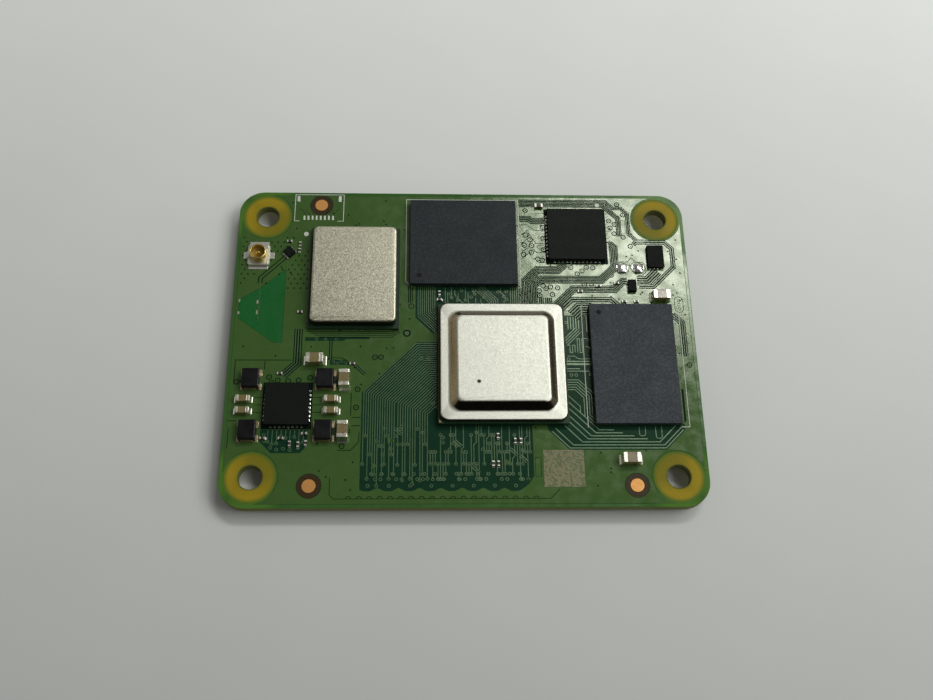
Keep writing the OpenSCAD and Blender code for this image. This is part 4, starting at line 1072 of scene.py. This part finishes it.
# Underside, which the photo doesn't show: pour, rings, lines from the headers' inner rows, and vias.
under_pour = Layer("mask_pour_under", MASK_POUR, "board", COPPER_LIFT, face=-1)
under_rings = Layer("bare_rings_under", LAMINATE, "laminate", FILM_LIFT, face=-1)
under_traces = Layer("mask_traces_under", MASK_TRACE, "board", COPPER_LIFT, face=-1)
under_vias = Layer("via_rings_under", MASK_TRACE, "board", VIA_LIFT, face=-1)
under_dots = Layer("via_dots_under", MASK_DARK, "board", GAP_LIFT, face=-1)
under_silk = Layer("white_ink_under", SILK, "mould", SILK_LIFT, face=-1)
HEADER_WAYS = 50
HEADER_PITCH = 0.4
HEADER_LANE = 3.2
CHIP_FIELDS = [rectangle(-1.6, -7.4, 10.3, 1.4), rectangle(14.6, -7.6, 25.1, 1.6)]
lanes = []
for name, inward in (("front_connector_housing", 1), ("rear_connector_housing", -1)):
    low, high = span(name)
    inner = high.y if inward > 0 else low.y
    outer = low.y - 0.5 if inward > 0 else high.y + 0.5
    across = sorted((outer, inner + inward * HEADER_LANE))
    lanes.append(rectangle(low.x - 0.6, across[0], high.x + 0.6, across[1]))
    for k in range(HEADER_WAYS):
        x = low.x + 1.3 + HEADER_PITCH * k
        reach = rng.choice((0.9, 1.4, 1.9, 2.4, 2.8))
        under_traces.line([(x, inner + inward * 0.2), (x, inner + inward * reach)], 0.11)
        under_vias.ring(x, inner + inward * reach, 0.2, VIA_HOLE_R, 10)
    for end, side in ((low.x, -1), (high.x, 1)):
        back, out = end - side * 1.2, end + side * 0.3
        under_silk.line([(back, low.y - 0.25), (out, low.y - 0.25), (out, high.y + 0.25),
                         (back, high.y + 0.25)], 0.13)
    under_silk.disc(low.x - 0.85, inner, 0.22)
under_pour.plate(pour_outline(), *lanes, *CHIP_FIELDS)
bolt_rings(under_rings)
FIELD_ROWS = 6
FIELD_PITCH = 1.7
for x0, y0, x1, y1 in ((-1.3, -7.2, 10.0, 1.2), (14.9, -7.4, 24.8, 1.4)):
    for row in range(FIELD_ROWS):
        y = y0 + 0.2 + (y1 - y0 - 0.4) * row / (FIELD_ROWS - 1)
        for k in range(int((x1 - x0) / FIELD_PITCH) + 1):
            under_vias.ring(x0 + 0.4 + FIELD_PITCH * k, y, 0.22, VIA_HOLE_R, 10)
for _ in range(240):
    x, y = rng.uniform(-26.3, 26.3), rng.uniform(-18.9, 18.9)
    if not near_hole(x, y) and not any(inside(area, x, y) for area in lanes + CHIP_FIELDS):
        under_dots.disc(x, y, 0.13, 10)
for layer in (under_pour, under_rings, under_traces, under_vias, under_dots, under_silk):
    layer.build()

# Printed outlines and pin-one dots.
SILK_W = 0.115
silk = Layer("white_ink_top", SILK, "mould", SILK_LIFT)
for path in ([(-6.2, 6.95), (-7.0, 7.75), (-7.0, 19.1), (6.9, 19.1), (6.9, 7.0), (6.6, 6.95)],
             [(14.3, 4.6), (14.05, 4.6), (14.05, -10.7)],
             [(25.2, 4.7), (25.8, 4.7), (25.8, -10.65), (24.9, -10.65)],
             [(-20.1, 15.95), (-20.75, 15.95), (-20.75, 19.68), (-14.77, 19.68), (-14.77, 15.95),
              (-15.5, 15.95)]):
    silk.line(path, SILK_W)
silk.disc(-19.2, 14.12, 0.32)
silk.disc(16.84, 18.52, 0.3)
silk.build()

patch = Layer("mottled_patch", PATCH, "mould", SILK_LIFT)
patch.plate(rectangle(8.7, -17.7, 13.36, -13.35))
patch.build()

DASH_HALF_W = 0.11
dashes = Layer("tinned_dashes", NICKEL, "solder", 0.05)
for x, y0, y1 in ((-26.7, 4.9, 5.3), (-26.7, 3.3, 3.7), (-24.55, 4.7, 5.2), (-24.55, 3.3, 3.9)):
    dashes.plate(rectangle(x - DASH_HALF_W, y0, x + DASH_HALF_W, y1))
dashes.build()

# Pin-one dimples, one in a corner of each large package, and the processor's gold triangle.
DIMPLE_R = 0.3
DIMPLE_INSET = 1.1
DIMPLE_LIFT = 0.004
for name, rear in (("memory_package", True), ("flash_package", False)):
    low, high = span(name)
    y = high.y - DIMPLE_INSET if rear else low.y + DIMPLE_INSET
    dimple = Layer(name + "_dimple", MOULD_NETWORK, "mould", DIMPLE_LIFT, base=high.z)
    dimple.disc(low.x + DIMPLE_INSET, y, DIMPLE_R)
    dimple.build()

MARK_INSET = 0.12
MARK_SIZE = 0.36
low, high = span("soc_substrate")
x, y = low.x + MARK_INSET, low.y + MARK_INSET
mark = Layer("pin_one_mark", GOLD, "gold", FILM_LIFT, base=high.z)
mark.plate([(x, y), (x + MARK_SIZE, y), (x, y + MARK_SIZE)])
mark.build()


# Studio: floor, two overhead lights, soft sky and a dark flag behind the camera

FLOOR_HALF = 4000
FLAG_HALF = 260
LAMP_TINT = (0.985, 1.0, 0.975)
HORIZON = (0.56, 0.57, 0.56, 1)


def seen(tree):
    """1 for rays from the camera, and for those that a mirror or a lens sends on."""
    path = tree.nodes.new("ShaderNodeLightPath")
    total = path.outputs["Is Camera Ray"]
    for kind in ("Is Glossy Ray", "Is Transmission Ray"):
        either = tree.nodes.new("ShaderNodeMath")
        either.operation = "MAXIMUM"
        tree.links.new(total, either.inputs[0])
        tree.links.new(path.outputs[kind], either.inputs[1])
        total = either.outputs[0]
    return total


def sheet(name, corners, material):
    """A flat four-cornered piece of the studio, in millimetres."""
    mesh = bpy.data.meshes.new(name)
    mesh.from_pydata([Vector(corner) * MM for corner in corners], [], [(0, 1, 2, 3)])
    mesh.materials.append(material)
    piece = bpy.data.objects.new(name, mesh)
    bpy.context.scene.collection.objects.link(piece)
    return piece


def floor():
    """A wide pale sheet of paper under the headers' mating faces, lighter toward the rear: painted shade
    toward the front.
    """
    paint = Paint("paper", Specular_IOR_Level=0.2, Roughness=0.85)
    # Painted shade: the paper darkens toward the front.
    rear = paint.spread(paint.axes()[1], -45 * MM, 55 * MM, smooth=False)
    tone = paint.mix(rear, srgb(190, 192, 190), srgb(232, 235, 232))
    paint.set("Base Color", paint.shaded(tone, 0.97, 1.03, paint.noise(14.0, 4.0)))
    away = paint.spread(paint.axis_distance(0, 0), 110, 420)
    paint.set("Emission Color", HORIZON)
    paint.set("Emission Strength", paint.times(away, seen(paint.tree)))
    half = FLOOR_HALF
    corners = [(x, y, 0) for x, y in rectangle(-half, -half, half, half)]
    sheet("floor", corners, paint.material)


def flag():
    """A black panel in front, which shows only in reflections."""
    half = FLAG_HALF
    corners = [(-half, -120, 0), (half, -120, 0), (half, -150, 230), (-half, -150, 230)]
    panel = sheet("flag", corners, plain_paint("black_cloth", srgb(16, 15, 14), 0.9, 3.0))
    panel.visible_camera = False
    panel.visible_diffuse = False
    panel.visible_shadow = False


def overhead(name, low, high, height, level):
    """A flat soft light that faces down, between two corners, of that radiance."""
    lamp = bpy.data.lights.new(name, "AREA")
    lamp.shape = "RECTANGLE"
    lamp.size = (high[0] - low[0]) * MM
    lamp.size_y = (high[1] - low[1]) * MM
    lamp.energy = math.pi * lamp.size * lamp.size_y * level
    lamp.color = LAMP_TINT
    holder = bpy.data.objects.new(name, lamp)
    holder.location = Vector(((low[0] + high[0]) / 2, (low[1] + high[1]) / 2, height)) * MM
    holder.visible_camera = False
    bpy.context.scene.collection.objects.link(holder)


WALLS = (0.30, 0.285, 0.26, 1)
CEILING = ((0.4, WALLS), (0.75, (0.14, 0.14, 0.135, 1)), (1.0, (0.11, 0.11, 0.108, 1)))
LIT_SKY = ((0.0, (0.33, 0.30, 0.255, 1)),) + CEILING
SEEN_SKY = ((0.2, HORIZON),) + CEILING


def sky():
    """A dim warm room with a dark ceiling, and a pale horizon where it is seen."""
    world = bpy.data.worlds.new("studio")
    world.use_nodes = True
    tree = world.node_tree
    place = tree.nodes.new("ShaderNodeTexCoord")
    axes = tree.nodes.new("ShaderNodeSeparateXYZ")
    tree.links.new(place.outputs["Generated"], axes.inputs[0])
    both = tree.nodes.new("ShaderNodeMix")
    both.data_type = "RGBA"
    tree.links.new(seen(tree), both.inputs[0])
    for colours, socket in ((LIT_SKY, both.inputs[6]), (SEEN_SKY, both.inputs[7])):
        ramp = tree.nodes.new("ShaderNodeValToRGB")
        stops = ramp.color_ramp.elements
        while len(stops) < len(colours):
            stops.new(0.5)
        for stop, (height, colour) in zip(stops, colours):
            stop.position = height
            stop.color = colour
        tree.links.new(axes.outputs[2], ramp.inputs[0])
        tree.links.new(ramp.outputs[0], socket)
    tree.links.new(both.outputs[2], tree.nodes["Background"].inputs["Color"])
    bpy.context.scene.world = world


def camera():
    """The photo's viewpoint."""
    lens = bpy.data.cameras.new("camera")
    lens.sensor_width = SENSOR
    lens.lens = FOCAL_PX * SENSOR / FRAME_W
    lens.clip_start = 2 * MM
    holder = bpy.data.objects.new("camera", lens)
    back = CAMERA_RIGHT.cross(CAMERA_UP)
    turn = Matrix((CAMERA_RIGHT, CAMERA_UP, back)).transposed().to_4x4()
    holder.matrix_world = Matrix.Translation(CAMERA_AT * MM) @ turn
    bpy.context.scene.collection.objects.link(holder)
    bpy.context.scene.camera = holder


floor()
flag()
overhead("window", (58, 203), (250, 290), 437, 14.7)
overhead("fill", (255, -190), (695, 310), 500, 4.6)
sky()
camera()
bpy.context.scene.view_settings.view_transform = "Standard"
